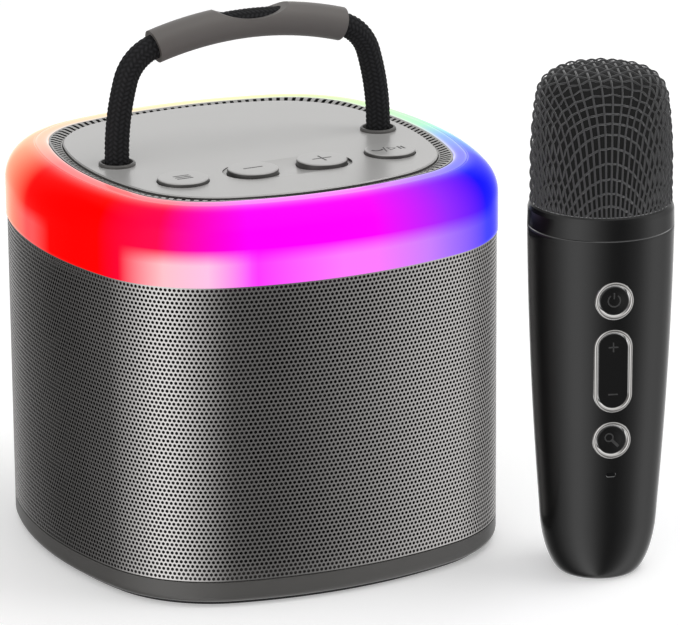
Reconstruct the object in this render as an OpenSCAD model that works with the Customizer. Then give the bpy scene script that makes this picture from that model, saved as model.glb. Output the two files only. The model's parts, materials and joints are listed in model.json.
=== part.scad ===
// Portable karaoke set: a square-round speaker with a light ring, a rope carrying
// handle and four deck buttons, and the hand microphone that stands beside it.
// Origin: centre of the speaker's base on the floor. +Z up, -Y is the button side.

/* [Speaker body] */
// Width and depth of the speaker body across its sides
body_w = 115; // [105:1:130]
// Radius of the shallow curve along each side of the body
side_r = 108.5; // [102:0.1:122]
// Radius of each upright corner of the body
corner_r = 33.5; // [32:0.1:36]
// Thickness of the non-slip pad
pad_t = 1.5; // [1.2:0.1:2.5]
// How far the pad lies inside the body outline
pad_inset = 2.8; // [2.6:0.1:5]
// Height of the base tray where the grille starts
base_h = 6.8; // [4.5:0.1:8]
// Radius of the base tray's rounded lower edge
base_round = 2.2; // [1.2:0.1:2.4]
// Height of the shadow gap between the base tray and the sleeve
base_gap = 0.35; // [0.2:0.05:0.5]
// Thickness of the base tray's floor
base_floor_t = 2; // [1.5:0.1:3]
// Height of the perforated sleeve
grille_h = 74.5; // [70:0.5:100]
// Thickness of the perforated sleeve
grille_t = 0.8; // [0.6:0.1:0.9]
// Wall of the inner cabinet
cabinet_t = 2.5; // [1.8:0.1:3]

/* [Light ring] */
// Height of the light ring from its seam to its lip
ring_h = 18.6; // [16:0.1:24]
// Radius of the ring's rounded shoulder
ring_round = 9.2; // [7:0.1:10.5]
// Wall of the ring
ring_t = 2.2; // [1.6:0.1:2.4]
// Width of the ring from the body outline in to its lip
ring_in = 10.7; // [10.4:0.1:11.4]
// Distance of the hairline groove in from the body outline
groove_in = 7.2; // [6.8:0.1:8.8]
// How far the ring stands out over the grille
ring_out = 0.3; // [0.1:0.1:0.6]

/* [Control deck] */
// Width and depth of the control deck across its sides
deck_w = 88; // [86:0.5:89]
// Radius of the shallow curve along each side of the deck
deck_side_r = 81.4; // [77:0.1:92]
// Radius of each corner of the deck
deck_corner_r = 26.4; // [25:0.1:28]
// Thickness of the deck
deck_t = 3; // [2.4:0.1:3.4]
// How far the deck stands above the ring's lip
deck_rise = 0; // [0:0.1:0.6]
// Distance between neighbouring slots of the vent ring
slot_pitch = 2.05; // [1.8:0.05:3]
// Width of a vent slot
slot_w = 0.95; // [0.6:0.05:1.2]

/* [Deck buttons] */
// Diameter of a button
button_d = 12.7; // [10:0.1:14]
// Distance between neighbouring buttons
button_pitch = 18.94; // [17:0.1:20]
// Distance of the button row from the middle of the deck
button_row = 21.6; // [19:0.1:23]
// How far a button stands above the deck
button_rise = 1; // [0.9:0.1:1.5]
// How far a button can be pressed
button_travel = 0.8; // [0.4:0.1:0.8]

/* [Rope handle] */
// Distance between the two legs of the rope at the deck
handle_w = 72.6; // [68:0.1:74]
// Diameter of the rope
rope_d = 6.2; // [5:0.1:6.6]
// Outer diameter of the rubber grip
grip_d = 8.5; // [8.2:0.1:11]
// Outer diameter of the collar round each rope leg
grommet_d = 9.2; // [9:0.1:11]
// Length of the cut-out on top of the grip
grip_cut_l = 22.6; // [16:0.1:28]

/* [Loudspeaker] */
// Outer diameter of the driver's flange
driver_d = 57.4; // [54:0.2:60]
// Height of the driver's middle above the floor
driver_z = 44; // [42:0.5:48]
// Outer diameter of the passive radiator's frame
radiator_d = 44; // [40:0.5:48]
// Height of the radiator's middle above the floor
radiator_z = 52; // [50:0.5:55]
// How far the cones move either way
cone_travel = 1; // [0.5:0.1:1]

/* [Microphone] */
// Height of the microphone from the floor to the top of its mesh
mic_h = 128.9; // [126:0.1:140]
// Height of the mesh head above its collar
head_h = 34.1; // [33:0.1:36]
// Largest diameter of the microphone, at the top of the barrel
mic_d = 36; // [35.6:0.1:38]
// Diameter of the flat end that it stands on
mic_foot_d = 19.2; // [16:0.1:21]
// Wall of the barrel
barrel_t = 1.8; // [1.5:0.1:2.2]
// Outer diameter of the mesh head
mesh_d = 34.9; // [33:0.1:35]
// Width and thickness of a bar of the mesh head
wire_d = 0.7; // [0.5:0.05:0.8]
// Number of bars that run up the mesh head
mesh_wires = 24; // [20:2:28]
// Outer diameter of the round button frames
bezel_d = 9.4; // [8.6:0.1:10]
// Length of the volume rocker's frame
rocker_l = 21.1; // [19:0.1:22]
// Width of the polished frames' face
bezel_t = 0.8; // [0.6:0.1:0.9]
// Where the microphone stands, sideways
mic_x = 62; // [58:0.1:76]
// Where the microphone stands, towards the front
mic_front = 68.5; // [66:0.1:90]
// How far the microphone is turned on its own axis
mic_turn = -18.5; // [-90:0.5:90]

/* [Hidden] */

$fn = 96;

// Clearances
run_gap = 0.3;      // between pieces that move past each other
seat_gap = 0.1;     // between pieces that are pushed together
pin_gap = 0.05;     // round the rocker's pin
cut = 1;            // how far a cutter runs past the face it cuts
tall = 400;         // taller than anything in the set

// Outlines: half width, side curve radius, corner radius
body_line = [body_w/2, side_r, corner_r];
deck_line = [deck_w/2, deck_side_r, deck_corner_r];

// Heights of the speaker, from the floor up
pad_sink = 0.6;
base_z = pad_t - pad_sink;
floor_z = base_z + base_floor_t;
rim_z = base_h + 3;
ring_z = base_h + grille_h;
frame_t = 2.5;
frame_z = ring_z - 1.5;
frame_top = frame_z + frame_t;
lip_z = ring_z + ring_h;
deck_z = lip_z + deck_rise;
deck_under = deck_z - deck_t;
ledge_t = 1.3;
ledge_z = deck_under - ledge_t;

// Base tray
rim_t = 2;
rim_in = grille_t + run_gap;
cabinet_in = rim_in + cabinet_t;

// Corner posts and their screws, set in from each corner's outline
post_r = 4;
post_in = 7.2;
screw_r = 1.4;
screw_head_r = 2.6;
screw_head_t = 1.8;
post_at = corner_at(body_line) + (corner_r - post_in)*sqrt(0.5);

// Switch board under the deck
switch_t = 2;
board_t = 1.6;
board_gap = 5.1;
board_z = deck_under - board_gap - board_t;
flange_t = 1;
flange_out = 0.85;
post_small_r = 2;

// Rope handle: three arcs on each side, from the deck to the top
flex_z = deck_z + 1.1;
leg_way = [0.96, 0.28];
leg_straight = 0.8;
leg_r = 68;
bend_r = 11.5;
top_r = (handle_w/2 - leg_r*(1 - leg_way[0]) - bend_r*(leg_way[0] - leg_way[1]))/leg_way[1];
leg_z = flex_z + leg_straight;
bend_x = handle_w/2 - leg_r*(1 - leg_way[0]) - bend_r*leg_way[0];
bend_z = leg_z + (leg_r - bend_r)*leg_way[1];
top_z = bend_z + bend_r*leg_way[0] + top_r*(1 - leg_way[0]);
grommet_rise = 0.8;
stopper_l = 5;
tail_gap = 0.4;

// Rear port panel
port_z = 19;
port_half = 27;
port_r = 7.5;
port_depth = 5;
main_board_top = port_z - 2.4;
main_board_half = 26;
main_board_y = [18, panel_back(main_board_half) - run_gap];
board_post_x = main_board_half - 3;
board_post_y = [22, 46];
usb_x = 15;
aux_x = 3;
card_x = -7.5;
switch_x = -20;
switch_travel = 3;
slider_w = 4;
slider_t = 2.6;
switch_half = (slider_w + switch_travel)/2 + run_gap + 0.1;
switch_wall = 1.2;
switch_depth = 5;
pocket_depth = 2.4;
switch_front = panel_back(abs(switch_x) + switch_half + switch_wall) - run_gap;
usb_w = 9;
usb_t = 3.3;
aux_r = 1.8;
aux_l = 14;
aux_mouth = 56;

// Driver: distances from the middle of the body out to the front
driver_seat = body_w/2 - 8;
driver_r = driver_d/2;
magnet_r = 17.5;
magnet_t = 9;
driver_depth = 25.5;
basket_t = 1.5;
basket_in = 14;
basket_back = driver_seat - driver_depth + magnet_t;
coil_r = 7;
coil_gap = 0.6;
radiator_r = radiator_d/2;
radiator_seat = body_w/2 - 6.5;

// Battery
cell_r = 9.2;
cell_l = 65;
cell_y = -4;
cell_z = floor_z + 1 + cell_r;
cradle_x = 22;
cradle_w = 6;
cradle_h = 8.5;
cradle_half = cell_r + 2.3;

// Microphone
mic_r = mic_d/2;
mic_foot_r = mic_foot_d/2;
collar_h = 5.8;
barrel_h = mic_h - head_h - collar_h;
mesh_z = barrel_h + collar_h;
power_z = barrel_h - 14.9;
rocker_z = barrel_h - 32.8;
effect_z = barrel_h - 50.8;
light_z = barrel_h - 59.9;
mic_cell_w = 15.6;
mic_cell_t = 6;
mic_cell_l = 40;
mic_cell_z = 26;
bezel_r = bezel_d/2;
bezel_proud = 0.15;
key_sink = 0.35;
key_travel = 0.6;
mic_floor_t = 2.5;
mic_board_w = 18;
mic_switch_y = -6.1;
stem_gap = 0.9;

// Mesh head: a steep side, a tight shoulder and a nearly flat crown
mesh_r = (mesh_d - wire_d)/2;
steep_r = 120;
steep_turn = 8.1;
shoulder_r = 7.5;
crown_turn = 12;
shoulder_x = mesh_r - steep_r*(1 - cos(steep_turn)) - shoulder_r*cos(steep_turn);
crown_r = (shoulder_x + shoulder_r*sin(crown_turn))/sin(crown_turn);
crown_z = mic_h - wire_d/2 - crown_r;
shoulder_z = crown_z + (crown_r - shoulder_r)*cos(crown_turn);
steep_z = shoulder_z - (steep_r - shoulder_r)*sin(steep_turn);

function corner_at(l) = ((l[0] - l[1]) + sqrt(2*pow(l[1] - l[2], 2) - pow(l[0] - l[1], 2)))/2;
function side_turn(l) = atan2(corner_at(l), corner_at(l) + l[1] - l[0]);
function seam_way(l) = let (way = [corner_at(l) + l[1] - l[0], corner_at(l)]) way/norm(way);

// Distance from the middle to a side of the body at a sideways place
function side_at(x) = sqrt(pow(side_r, 2) - pow(x, 2)) - side_r + body_w/2;

// Distance from the middle of the body to the inner face of the rear panel
function panel_back(x) = sqrt(pow(side_r - port_depth, 2) - pow(x, 2)) - side_r + body_w/2;

module prism(points) {
    translate([0, 0, -tall/2]) linear_extrude(tall) polygon(points);
}

// Cuts a side piece (child 0) and a corner piece (child 1), each built round its own
// centre, at the seams where they meet, and repeats them round an outline
module around(l) {
    c = corner_at(l);
    far = l[0];
    seam = far*seam_way(l);
    for (q = [0:3]) rotate(90*q) {
        intersection() {
            translate([l[0] - l[1], 0, 0]) rotate(180) children(0);
            prism([[c, -c], [c + seam[0], -c - seam[1]], [c + seam[0], c + seam[1]], [c, c]]);
        }
        intersection() {
            translate([c, c, 0]) rotate(180) children(1);
            prism([[c, c], [c + seam[0], c + seam[1]], [c + far, c + far], [c + seam[1], c + seam[0]]]);
        }
    }
}

// Runs a profile round an outline. The profile's points are [distance out, height].
module run_round(l) {
    around(l) {
        rotate_extrude() translate([l[1], 0]) children();
        rotate_extrude() translate([l[2], 0]) children();
    }
}

// A band round an outline, from one distance inside it to another
module band(l, from_in, to_in, z0, z1) {
    run_round(l) translate([-to_in, z0]) square([to_in - from_in, z1 - z0]);
}

// A whole plate with an outline's shape, a distance inside it
module plate(l, inset, z0, z1) {
    c = corner_at(l);
    around(l) {
        disc(l[1] - inset, z0, z1);
        disc(l[2] - inset, z0, z1);
    }
    translate([-c, -c, z0]) cube([2*c, 2*c, z1 - z0]);
}

module disc(r, z0, z1) {
    translate([0, 0, z0]) cylinder(r = r, h = z1 - z0);
}

module tube(r0, r1, z0, z1) {
    difference() {
        disc(r1, z0, z1);
        disc(r0, z0 - cut, z1 + cut);
    }
}

// A bar with round ends, along X, standing on the XY plane
module pill(length, width, h) {
    half = (length - width)/2;
    for (s = [-1, 1]) translate([s*half, 0, 0]) cylinder(d = width, h = h);
    translate([-half, -width/2, 0]) cube([2*half, width, h]);
}

// Turns a piece built along +Z to face the front (-Y) or the back (+Y)
module facing_front(z) { translate([0, 0, z]) rotate([90, 0, 0]) children(); }
module facing_back(z) { translate([0, 0, z]) rotate([-90, 0, 0]) children(); }

module at_corners() {
    for (sx = [-1, 1], sy = [-1, 1]) translate([sx*post_at, sy*post_at, 0]) children();
}

module at_buttons(i) {
    translate([(i - 1.5)*button_pitch, -button_row, 0]) children();
}

// ---------------------------------------------------------------- base and body

module non_slip_pad() {
    color([0.1, 0.1, 0.1]) plate(body_line, pad_inset, 0, pad_t);
}

module base_cover() {
    floor_in = 10;
    boss_z = pad_t + 1 + screw_head_t;
    color([0.34, 0.34, 0.33]) difference() {
        union() {
            run_round(body_line) polygon(concat([[-floor_in, base_z]],
                [for (a = [-90:15:0]) [base_round*(cos(a) - 1), base_z + base_round*(1 + sin(a))]],
                [[0, base_h - base_gap], [-grille_t/2, base_h - base_gap], [-grille_t/2, base_h],
                [-rim_in, base_h], [-rim_in, rim_z], [-rim_in - rim_t, rim_z],
                [-rim_in - rim_t, floor_z], [-floor_in, floor_z]]));
            plate(body_line, floor_in/2, base_z, floor_z);
            at_corners() disc(post_r + 0.5, base_z, rim_z);
            for (sx = [-1, 1], y = board_post_y)
                translate([sx*board_post_x, y, 0]) disc(2.5, base_z, main_board_top - board_t);
        }
        plate(body_line, pad_inset - seat_gap, base_z - cut, pad_t);
        at_corners() {
            disc(screw_r + seat_gap, base_z - cut, rim_z + cut);
            disc(screw_head_r + run_gap, base_z - cut, boss_z);
        }
    }
}

module screw(head_z, tip_z) {
    disc(screw_r, min(head_z, tip_z), max(head_z, tip_z));
    up = head_z > tip_z ? 1 : -1;
    difference() {
        disc(screw_head_r, min(head_z, head_z + up*screw_head_t), max(head_z, head_z + up*screw_head_t));
        translate([0, 0, head_z + up*screw_head_t]) cylinder(r = 1.1, h = 1.4, center = true, $fn = 6);
    }
}

module base_screws() {
    color("silver") at_corners() screw(pad_t + 1 + screw_head_t, rim_z + 8);
}

module grille_sleeve() {
    color([0.27, 0.27, 0.28]) difference() {
        band(body_line, 0, grille_t, base_h, ring_z);
        facing_back(port_z) translate([0, 0, body_w/4])
            pill(2*(port_half + seat_gap), 2*(port_r + seat_gap), body_w);
    }
}

module inner_cabinet() {
    boss_r = driver_r + 3.3;
    color([0.12, 0.12, 0.12]) difference() {
        union() {
            band(body_line, rim_in, cabinet_in, rim_z, frame_z);
            facing_front(driver_z) disc(boss_r, driver_seat - 3.5, driver_seat + 1.5);
            facing_back(radiator_z) disc(radiator_r + 3.3, radiator_seat - 3, radiator_seat + 1.5);
            at_corners() disc(post_r, rim_z, frame_z);
        }
        facing_front(driver_z) {
            disc(driver_r + run_gap, driver_seat, body_w/2 + cut);
            disc(driver_r - 4.5, driver_seat - 4.5, driver_seat + cut);
        }
        facing_back(radiator_z) {
            disc(radiator_r + run_gap, radiator_seat, body_w/2 + cut);
            disc(radiator_r - 4, radiator_seat - 4, radiator_seat + cut);
        }
        facing_back(port_z) translate([0, 0, body_w/4])
            pill(2*(port_half + run_gap), 2*(port_r + run_gap), body_w);
        at_corners() {
            disc(screw_r + pin_gap, rim_z - cut, rim_z + 9);
            disc(screw_r + pin_gap, frame_z - 9, frame_z + cut);
        }
    }
}

// ---------------------------------------------------------------- loudspeaker

module driver_basket() {
    color([0.2, 0.2, 0.2]) facing_front(driver_z) rotate_extrude() polygon([
        [coil_r + 1.2, basket_back], [magnet_r, basket_back], [magnet_r, basket_back + basket_t],
        [basket_in, basket_back + basket_t], [driver_r - 5.2, driver_seat], [driver_r, driver_seat],
        [driver_r, driver_seat + basket_t], [driver_r - 6.4, driver_seat + basket_t],
        [basket_in - 2, basket_back + basket_t], [coil_r + 1.2, basket_back + basket_t]]);
}

module driver_magnet() {
    back = basket_back - magnet_t;
    color([0.3, 0.3, 0.32]) facing_front(driver_z) difference() {
        disc(magnet_r, back, basket_back);
        tube(coil_r - 0.5 - coil_gap, coil_r + coil_gap, back + 2, basket_back + cut);
    }
}

module half_roll(r0, r1, z) {
    roll = (r1 - r0)/2;
    rotate_extrude() translate([(r0 + r1)/2, z]) intersection() {
        difference() {
            circle(r = roll);
            circle(r = roll - 0.6);
        }
        translate([-r1, 0]) square([2*r1, 2*roll]);
    }
}

module driver_surround() {
    color([0.08, 0.08, 0.08]) facing_front(driver_z)
        half_roll(driver_r - 8.1, driver_r - 3.1, driver_seat + 1.5);
}

module driver_cone() {
    edge = driver_r - 8.1 - run_gap - 0.1;
    color([0.16, 0.16, 0.16]) facing_front(driver_z) {
        rotate_extrude() polygon([
            [coil_r - 0.5, driver_seat - 20], [coil_r, driver_seat - 20], [coil_r, driver_seat - 7.4],
            [edge, driver_seat + 1.2], [edge, driver_seat + 1.9], [edge - 0.5, driver_seat + 1.9],
            [coil_r, driver_seat - 6.4], [coil_r*0.75, driver_seat - 4.6], [0, driver_seat - 3.6],
            [0, driver_seat - 4.2], [coil_r*0.7, driver_seat - 5.2], [coil_r - 0.5, driver_seat - 6.6]]);
    }
}

module radiator_surround() {
    color([0.08, 0.08, 0.08]) facing_back(radiator_z) {
        tube(radiator_r - 4.6, radiator_r, radiator_seat, radiator_seat + 1.2);
        half_roll(radiator_r - 9.4, radiator_r - 4.6, radiator_seat);
    }
}

module radiator_plate() {
    plate_r = radiator_r - 9.4 - run_gap;
    color([0.45, 0.45, 0.47]) facing_back(radiator_z) rotate_extrude() polygon([
        [0, radiator_seat - 0.8], [plate_r, radiator_seat - 0.8], [plate_r, radiator_seat + 0.6],
        [plate_r - 2, radiator_seat + 1.2], [0, radiator_seat + 1.2]]);
}

// ---------------------------------------------------------------- power and sockets

module battery_cradle() {
    color([0.15, 0.15, 0.15]) difference() {
        for (s = [-1, 1]) translate([s*cradle_x - cradle_w/2, cell_y - cradle_half, floor_z])
            cube([cradle_w, 2*cradle_half, cradle_h]);
        translate([0, cell_y, cell_z]) rotate([0, 90, 0]) cylinder(r = cell_r + seat_gap, h = cell_l, center = true);
    }
}

module battery_cell() {
    color([0.2, 0.35, 0.6]) translate([-cell_l/2, cell_y, cell_z]) rotate([0, 90, 0]) {
        cylinder(r = cell_r, h = cell_l);
        translate([0, 0, cell_l]) cylinder(r = 3, h = 1);
    }
}

module main_board() {
    depth = main_board_y[1] - main_board_y[0];
    color([0.1, 0.35, 0.2]) {
        translate([-main_board_half, main_board_y[0], main_board_top - board_t])
            cube([2*main_board_half, depth, board_t]);
        translate([-14, main_board_y[0] + 4, main_board_top]) cube([10, 10, 1.4]);
        translate([4, main_board_y[0] + 5, main_board_top]) cube([7, 7, 3]);
        for (x = [16, 22]) translate([x, main_board_y[0] + 8, 0]) disc(2.5, main_board_top, main_board_top + 7);
    }
}

module port_panel() {
    color([0.1, 0.1, 0.1]) difference() {
        intersection() {
            rotate(90) translate([body_w/2 - side_r, 0, 0]) rotate(180)
                tube(side_r - port_depth, side_r + 0.3, port_z - 2*port_r, port_z + 2*port_r);
            facing_back(port_z) translate([0, 0, body_w/4]) pill(2*port_half, 2*port_r, body_w);
        }
        facing_back(port_z) {
            translate([usb_x, 0, 30]) pill(usb_w + run_gap, usb_t + run_gap, body_w);
            translate([aux_x, 0, 30]) cylinder(r = aux_r + 1.2, h = body_w);
            translate([card_x - 6.2, -0.9, 30]) cube([12.4, 1.8, body_w]);
            translate([switch_x - switch_half, -1.7, 30]) cube([2*switch_half, 3.4, body_w]);
        }
    }
}

// A receptacle with a rounded mouth and a tongue, its mouth at z = 0 and opening upwards
module usb_receptacle(depth) {
    difference() {
        translate([0, 0, -depth]) pill(usb_w, usb_t, depth);
        translate([0, 0, 0.8 - depth]) pill(usb_w - 0.7, usb_t - 0.7, depth);
    }
    translate([-3.3, -0.35, 0.6 - depth]) cube([6.6, 0.7, depth - 1.4]);
}

module usb_c_socket() {
    mouth = side_at(usb_x) - 1.4;
    color([0.7, 0.7, 0.72]) {
        facing_back(port_z) translate([usb_x, 0, mouth]) usb_receptacle(7.4);
        for (s = [-1, 1]) translate([usb_x + s*3.8 - 0.3, mouth - 7.2, main_board_top])
            cube([0.6, 1, port_z - usb_t/2 - main_board_top + 0.5]);
    }
}

module aux_socket() {
    color([0.08, 0.08, 0.08]) difference() {
        union() {
            translate([aux_x - 3.1, aux_mouth - aux_l - 3, main_board_top])
                cube([6.2, 12, 2*(port_z - main_board_top)]);
            facing_back(port_z) translate([aux_x, 0, 0]) disc(aux_r + 1.1, aux_mouth - 7, aux_mouth);
        }
        facing_back(port_z) translate([aux_x, 0, 0]) disc(aux_r, aux_mouth - aux_l, aux_mouth + cut);
    }
}

module card_socket() {
    color([0.75, 0.75, 0.76]) translate([card_x - 7, panel_back(abs(card_x) + 7) - run_gap - 14, main_board_top]) difference() {
        cube([14, 14, port_z - main_board_top + 1.4]);
        translate([1.2, 2, port_z - main_board_top - 0.65]) cube([11.6, 14, 1.3]);
    }
}

module power_switch_body() {
    color([0.6, 0.6, 0.62]) translate([switch_x, switch_front - switch_depth, main_board_top]) difference() {
        translate([-switch_half - switch_wall, 0, 0])
            cube([2*(switch_half + switch_wall), switch_depth, 2*(port_z - main_board_top)]);
        translate([-switch_half, switch_depth - pocket_depth, port_z - main_board_top - 1.6])
            cube([2*switch_half, switch_depth, 3.2]);
    }
}

module power_slider() {
    back = switch_front - pocket_depth + run_gap;
    color([0.05, 0.05, 0.05]) translate([switch_x - (slider_w + switch_travel)/2, back, port_z - slider_t/2])
        cube([slider_w, side_at(switch_x) + 0.9 - back, slider_t]);
}

// ---------------------------------------------------------------- top of the speaker

module top_frame() {
    color([0.15, 0.15, 0.15]) difference() {
        union() {
            plate(body_line, ring_t + 0.1, frame_z, frame_top);
            band(deck_line, 0.5, 2.5, frame_top - 0.5, ledge_z);
        }
        disc(24, frame_z - cut, frame_top + cut);
        at_corners() disc(screw_r + pin_gap, frame_z - cut, frame_top + cut);
    }
}

module frame_screws() {
    color("silver") at_corners() screw(frame_top, frame_z - 8);
}

module led_strip() {
    c = corner_at(deck_line);
    t = side_turn(deck_line);
    strip = [frame_top + 1.5, frame_top + 9.5];
    chip = 5;
    color([0.9, 0.9, 0.85]) {
        band(deck_line, 0.1, 0.5, strip[0], strip[1]);
        for (q = [0:3]) rotate(90*q) {
            for (a = [-0.62, 0, 0.62]) translate([deck_line[0] - deck_side_r, 0, 0]) rotate(a*t)
                translate([deck_side_r - 0.2, -chip/2, strip[0] + 1.5]) cube([1.4, chip, chip]);
            for (a = [0.2, 0.8]) translate([c, c, 0]) rotate(t + a*(90 - 2*t))
                translate([deck_corner_r - 0.3, -chip/2, strip[0] + 1.5]) cube([1.5, chip, chip]);
        }
    }
}

// A section with a rounded outer shoulder, a distance inside the ring's outer face
module shoulder(inset) {
    r = ring_round - inset;
    translate([ring_out - ring_round, lip_z - ring_round]) intersection() {
        circle(r = r);
        square(r);
    }
    translate([-ring_in, ring_z - cut]) square([ring_in + ring_out - ring_round, ring_h + cut - inset]);
    translate([-ring_in, ring_z - cut]) square([ring_in + ring_out - inset, ring_h + cut - ring_round]);
}

module light_ring() {
    color([0.95, 0.3, 0.6]) run_round(body_line) difference() {
        shoulder(0);
        shoulder(ring_t);
        translate([-ring_in - cut, ring_z - 2*cut]) square([2*ring_in, 2*cut]);
        translate([-groove_in - 0.4, lip_z - 0.45]) square([0.4, cut]);
    }
}

// One slot cutter for every pitch along the deck's outline
module slot_cutters() {
    c = corner_at(deck_line);
    t = side_turn(deck_line);
    n_side = round(2*t*PI/180*(deck_side_r + 1)/slot_pitch);
    n_corner = round((90 - 2*t)*PI/180*(deck_corner_r + 2)/slot_pitch);
    for (q = [0:3]) rotate(90*q) {
        for (i = [0:n_side - 1]) translate([deck_line[0] - deck_side_r, 0, 0])
            rotate(-t + 2*t*(i + 0.5)/n_side)
                translate([deck_side_r + 0.5, -slot_w/2, ledge_z - cut]) cube([8, slot_w, 2*deck_t + cut]);
        for (i = [0:n_corner - 1]) translate([c, c, 0])
            rotate(t + (90 - 2*t)*(i + 0.5)/n_corner)
                translate([deck_corner_r + 0.5, -slot_w/2, ledge_z - cut]) cube([8, slot_w, 2*deck_t + cut]);
    }
}

module vent_ring() {
    outer = ring_in + 0.2;
    inner_z = lip_z - 0.8;
    outer_z = lip_z - 0.05;
    slope = 0.3;
    reach = 9;
    color([0.78, 0.78, 0.77]) difference() {
        intersection() {
            run_round(deck_line) polygon([
                [-3, ledge_z], [reach, ledge_z], [reach, outer_z],
                [0.15 + (outer_z - inner_z)/slope, outer_z], [0.15, inner_z],
                [0.15, deck_under], [-3, deck_under]]);
            plate(body_line, outer, ledge_z - cut, lip_z + reach);
        }
        intersection() {
            slot_cutters();
            plate(body_line, outer + 0.5, ledge_z - 2*cut, lip_z + reach);
        }
    }
}

module control_deck() {
    scoop_r = 44;
    scoop_w = button_d + 2.4;
    edge = 0.3;
    color([0.78, 0.78, 0.77]) difference() {
        union() {
            plate(deck_line, 3, deck_under, deck_z);
            run_round(deck_line) polygon([
                [-4, deck_under], [0, deck_under], [0, deck_z - edge], [-edge, deck_z], [-4, deck_z]]);
            for (i = [0:2]) at_buttons(i + 0.5)
                disc(post_small_r, deck_under - board_gap, deck_under + cut);
        }
        for (i = [0:3]) at_buttons(i) disc(button_d/2 + run_gap - 0.1, deck_under - cut, deck_z + cut);
        for (s = [-1, 1]) translate([s*handle_w/2, 0, 0])
            disc(grommet_d/2 - 0.5 + 0.05, deck_under - cut, deck_z + cut);
        intersection() {
            at_buttons(1.5) translate([0, 0, deck_z - 0.65 + scoop_r]) rotate([0, 90, 0])
                cylinder(r = scoop_r, h = 2*button_pitch, center = true);
            at_buttons(1.5) translate([0, 0, deck_z - deck_t/2])
                pill(button_pitch + scoop_w, scoop_w, deck_t);
        }
    }
}

module switch_board() {
    half = 1.5*button_pitch + 6.6;
    color([0.1, 0.35, 0.2]) {
        translate([-half, -button_row - 6.5, board_z]) cube([2*half, 13, board_t]);
        for (i = [0:3]) at_buttons(i) {
            translate([-3, -3, board_z + board_t - 0.1]) cube([6, 6, 1.5]);
            disc(1.7, board_z + board_t, board_z + board_t + switch_t);
        }
    }
}

module deck_button(i) {
    r = button_d/2;
    stem_low = board_z + board_t + switch_t + button_travel + 0.1;
    edge = 0.35;
    color([0.8, 0.8, 0.79]) at_buttons(i) rotate_extrude() polygon([
        [0, stem_low], [1.6, stem_low], [1.6, deck_under - flange_t], [r + flange_out, deck_under - flange_t],
        [r + flange_out, deck_under], [r, deck_under], [r, deck_z + button_rise - edge],
        [r - edge, deck_z + button_rise], [0, deck_z + button_rise]]);
}

module mode_button() { deck_button(0); }
module minus_button() { deck_button(1); }
module plus_button() { deck_button(2); }
module play_button() { deck_button(3); }

// ---------------------------------------------------------------- rope handle

module at_legs() {
    for (s = [-1, 1]) translate([s*handle_w/2, 0, 0]) children();
}

module rope_grommets() {
    r = grommet_d/2;
    bore = rope_d/2 + run_gap + 0.05;
    color([0.6, 0.6, 0.59]) at_legs() rotate_extrude() polygon([
        [bore, deck_under - 1], [r - 0.1, deck_under - 1], [r - 0.1, deck_under], [r - 0.5, deck_under],
        [r - 0.5, deck_z], [r, deck_z], [r, deck_z + grommet_rise - 0.3], [r - 0.3, deck_z + grommet_rise],
        [bore + 0.5, deck_z + grommet_rise], [bore, deck_z - 0.6]]);
}

module rope_tails() {
    top = flex_z - rope_d/2 - tail_gap;
    color([0.05, 0.05, 0.05]) at_legs() disc(rope_d/2, deck_under - 1 - stopper_l, top);
}

module rope_stoppers() {
    color([0.1, 0.1, 0.1]) at_legs()
        tube(rope_d/2 + pin_gap, rope_d/2 + 1.6, deck_under - 1 - stopper_l, deck_under - 1);
}

// A bend of round bar in the upright XZ plane, about a point, between two directions
module bend(x, z, r, from, to, d) {
    far = 2*r;
    translate([x, 0, z]) rotate([90, 0, 0]) intersection() {
        rotate(180) rotate_extrude() translate([r, 0]) circle(d = d);
        prism([[0, 0], far*from, far*to]);
    }
}

module handle_rope() {
    turned_way = [leg_way[1], leg_way[0]];
    color([0.05, 0.05, 0.05]) {
        for (side = [0, 1]) mirror([side, 0, 0]) {
            translate([handle_w/2, 0, flex_z]) rotate_extrude() polygon(concat(
                [[0, leg_straight], [0, -rope_d/2]],
                [for (a = [-75:15:0]) rope_d/2*[cos(a), sin(a)]],
                [[rope_d/2, leg_straight]]));
            bend(handle_w/2 - leg_r, leg_z, leg_r, [1, 0], leg_way, rope_d);
            bend(bend_x, bend_z, bend_r, leg_way, turned_way, rope_d);
        }
        bend(0, top_z - top_r, top_r, turned_way, [-turned_way[0], turned_way[1]], rope_d);
    }
}

module handle_grip() {
    cut_drop = 3.1;
    cut_r = (pow(grip_cut_l/2, 2) + pow(cut_drop, 2))/(2*cut_drop);
    end_way = [leg_way[1], leg_way[0]];
    past_way = [2*leg_way[1], leg_way[0]];
    color([0.4, 0.38, 0.37]) difference() {
        bend(0, top_z - top_r, top_r, end_way, [-end_way[0], end_way[1]], grip_d);
        bend(0, top_z - top_r, top_r, past_way, [-past_way[0], past_way[1]], rope_d + pin_gap);
        translate([0.8, 0, top_z + grip_d/2 - cut_drop + cut_r]) rotate([90, 0, 0])
            cylinder(r = cut_r, h = 2*grip_d, center = true);
    }
}

// ---------------------------------------------------------------- microphone

module at_mic() { translate([mic_x, -mic_front, 0]) rotate(mic_turn) children(); }

// Places a piece built along +Z so that it looks out of the microphone's front
module at_key(z) { at_mic() translate([0, 0, z]) rotate([90, 0, 0]) children(); }

// Outer radius of the barrel at a height: a long curve that swells, on a turned-in foot
foot_h = 16;
foot_r = 0.81*mic_r;
swell = 0.62;
function barrel_r(z) = z < foot_h
    ? mic_foot_r + (foot_r - mic_foot_r)*pow(sin(90*z/foot_h), 0.62)
    : foot_r + (mic_r - foot_r)*(z - foot_h)/(barrel_h - foot_h)
        + swell*(1 - pow(2*(z - foot_h)/(barrel_h - foot_h) - 1, 2));

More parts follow.
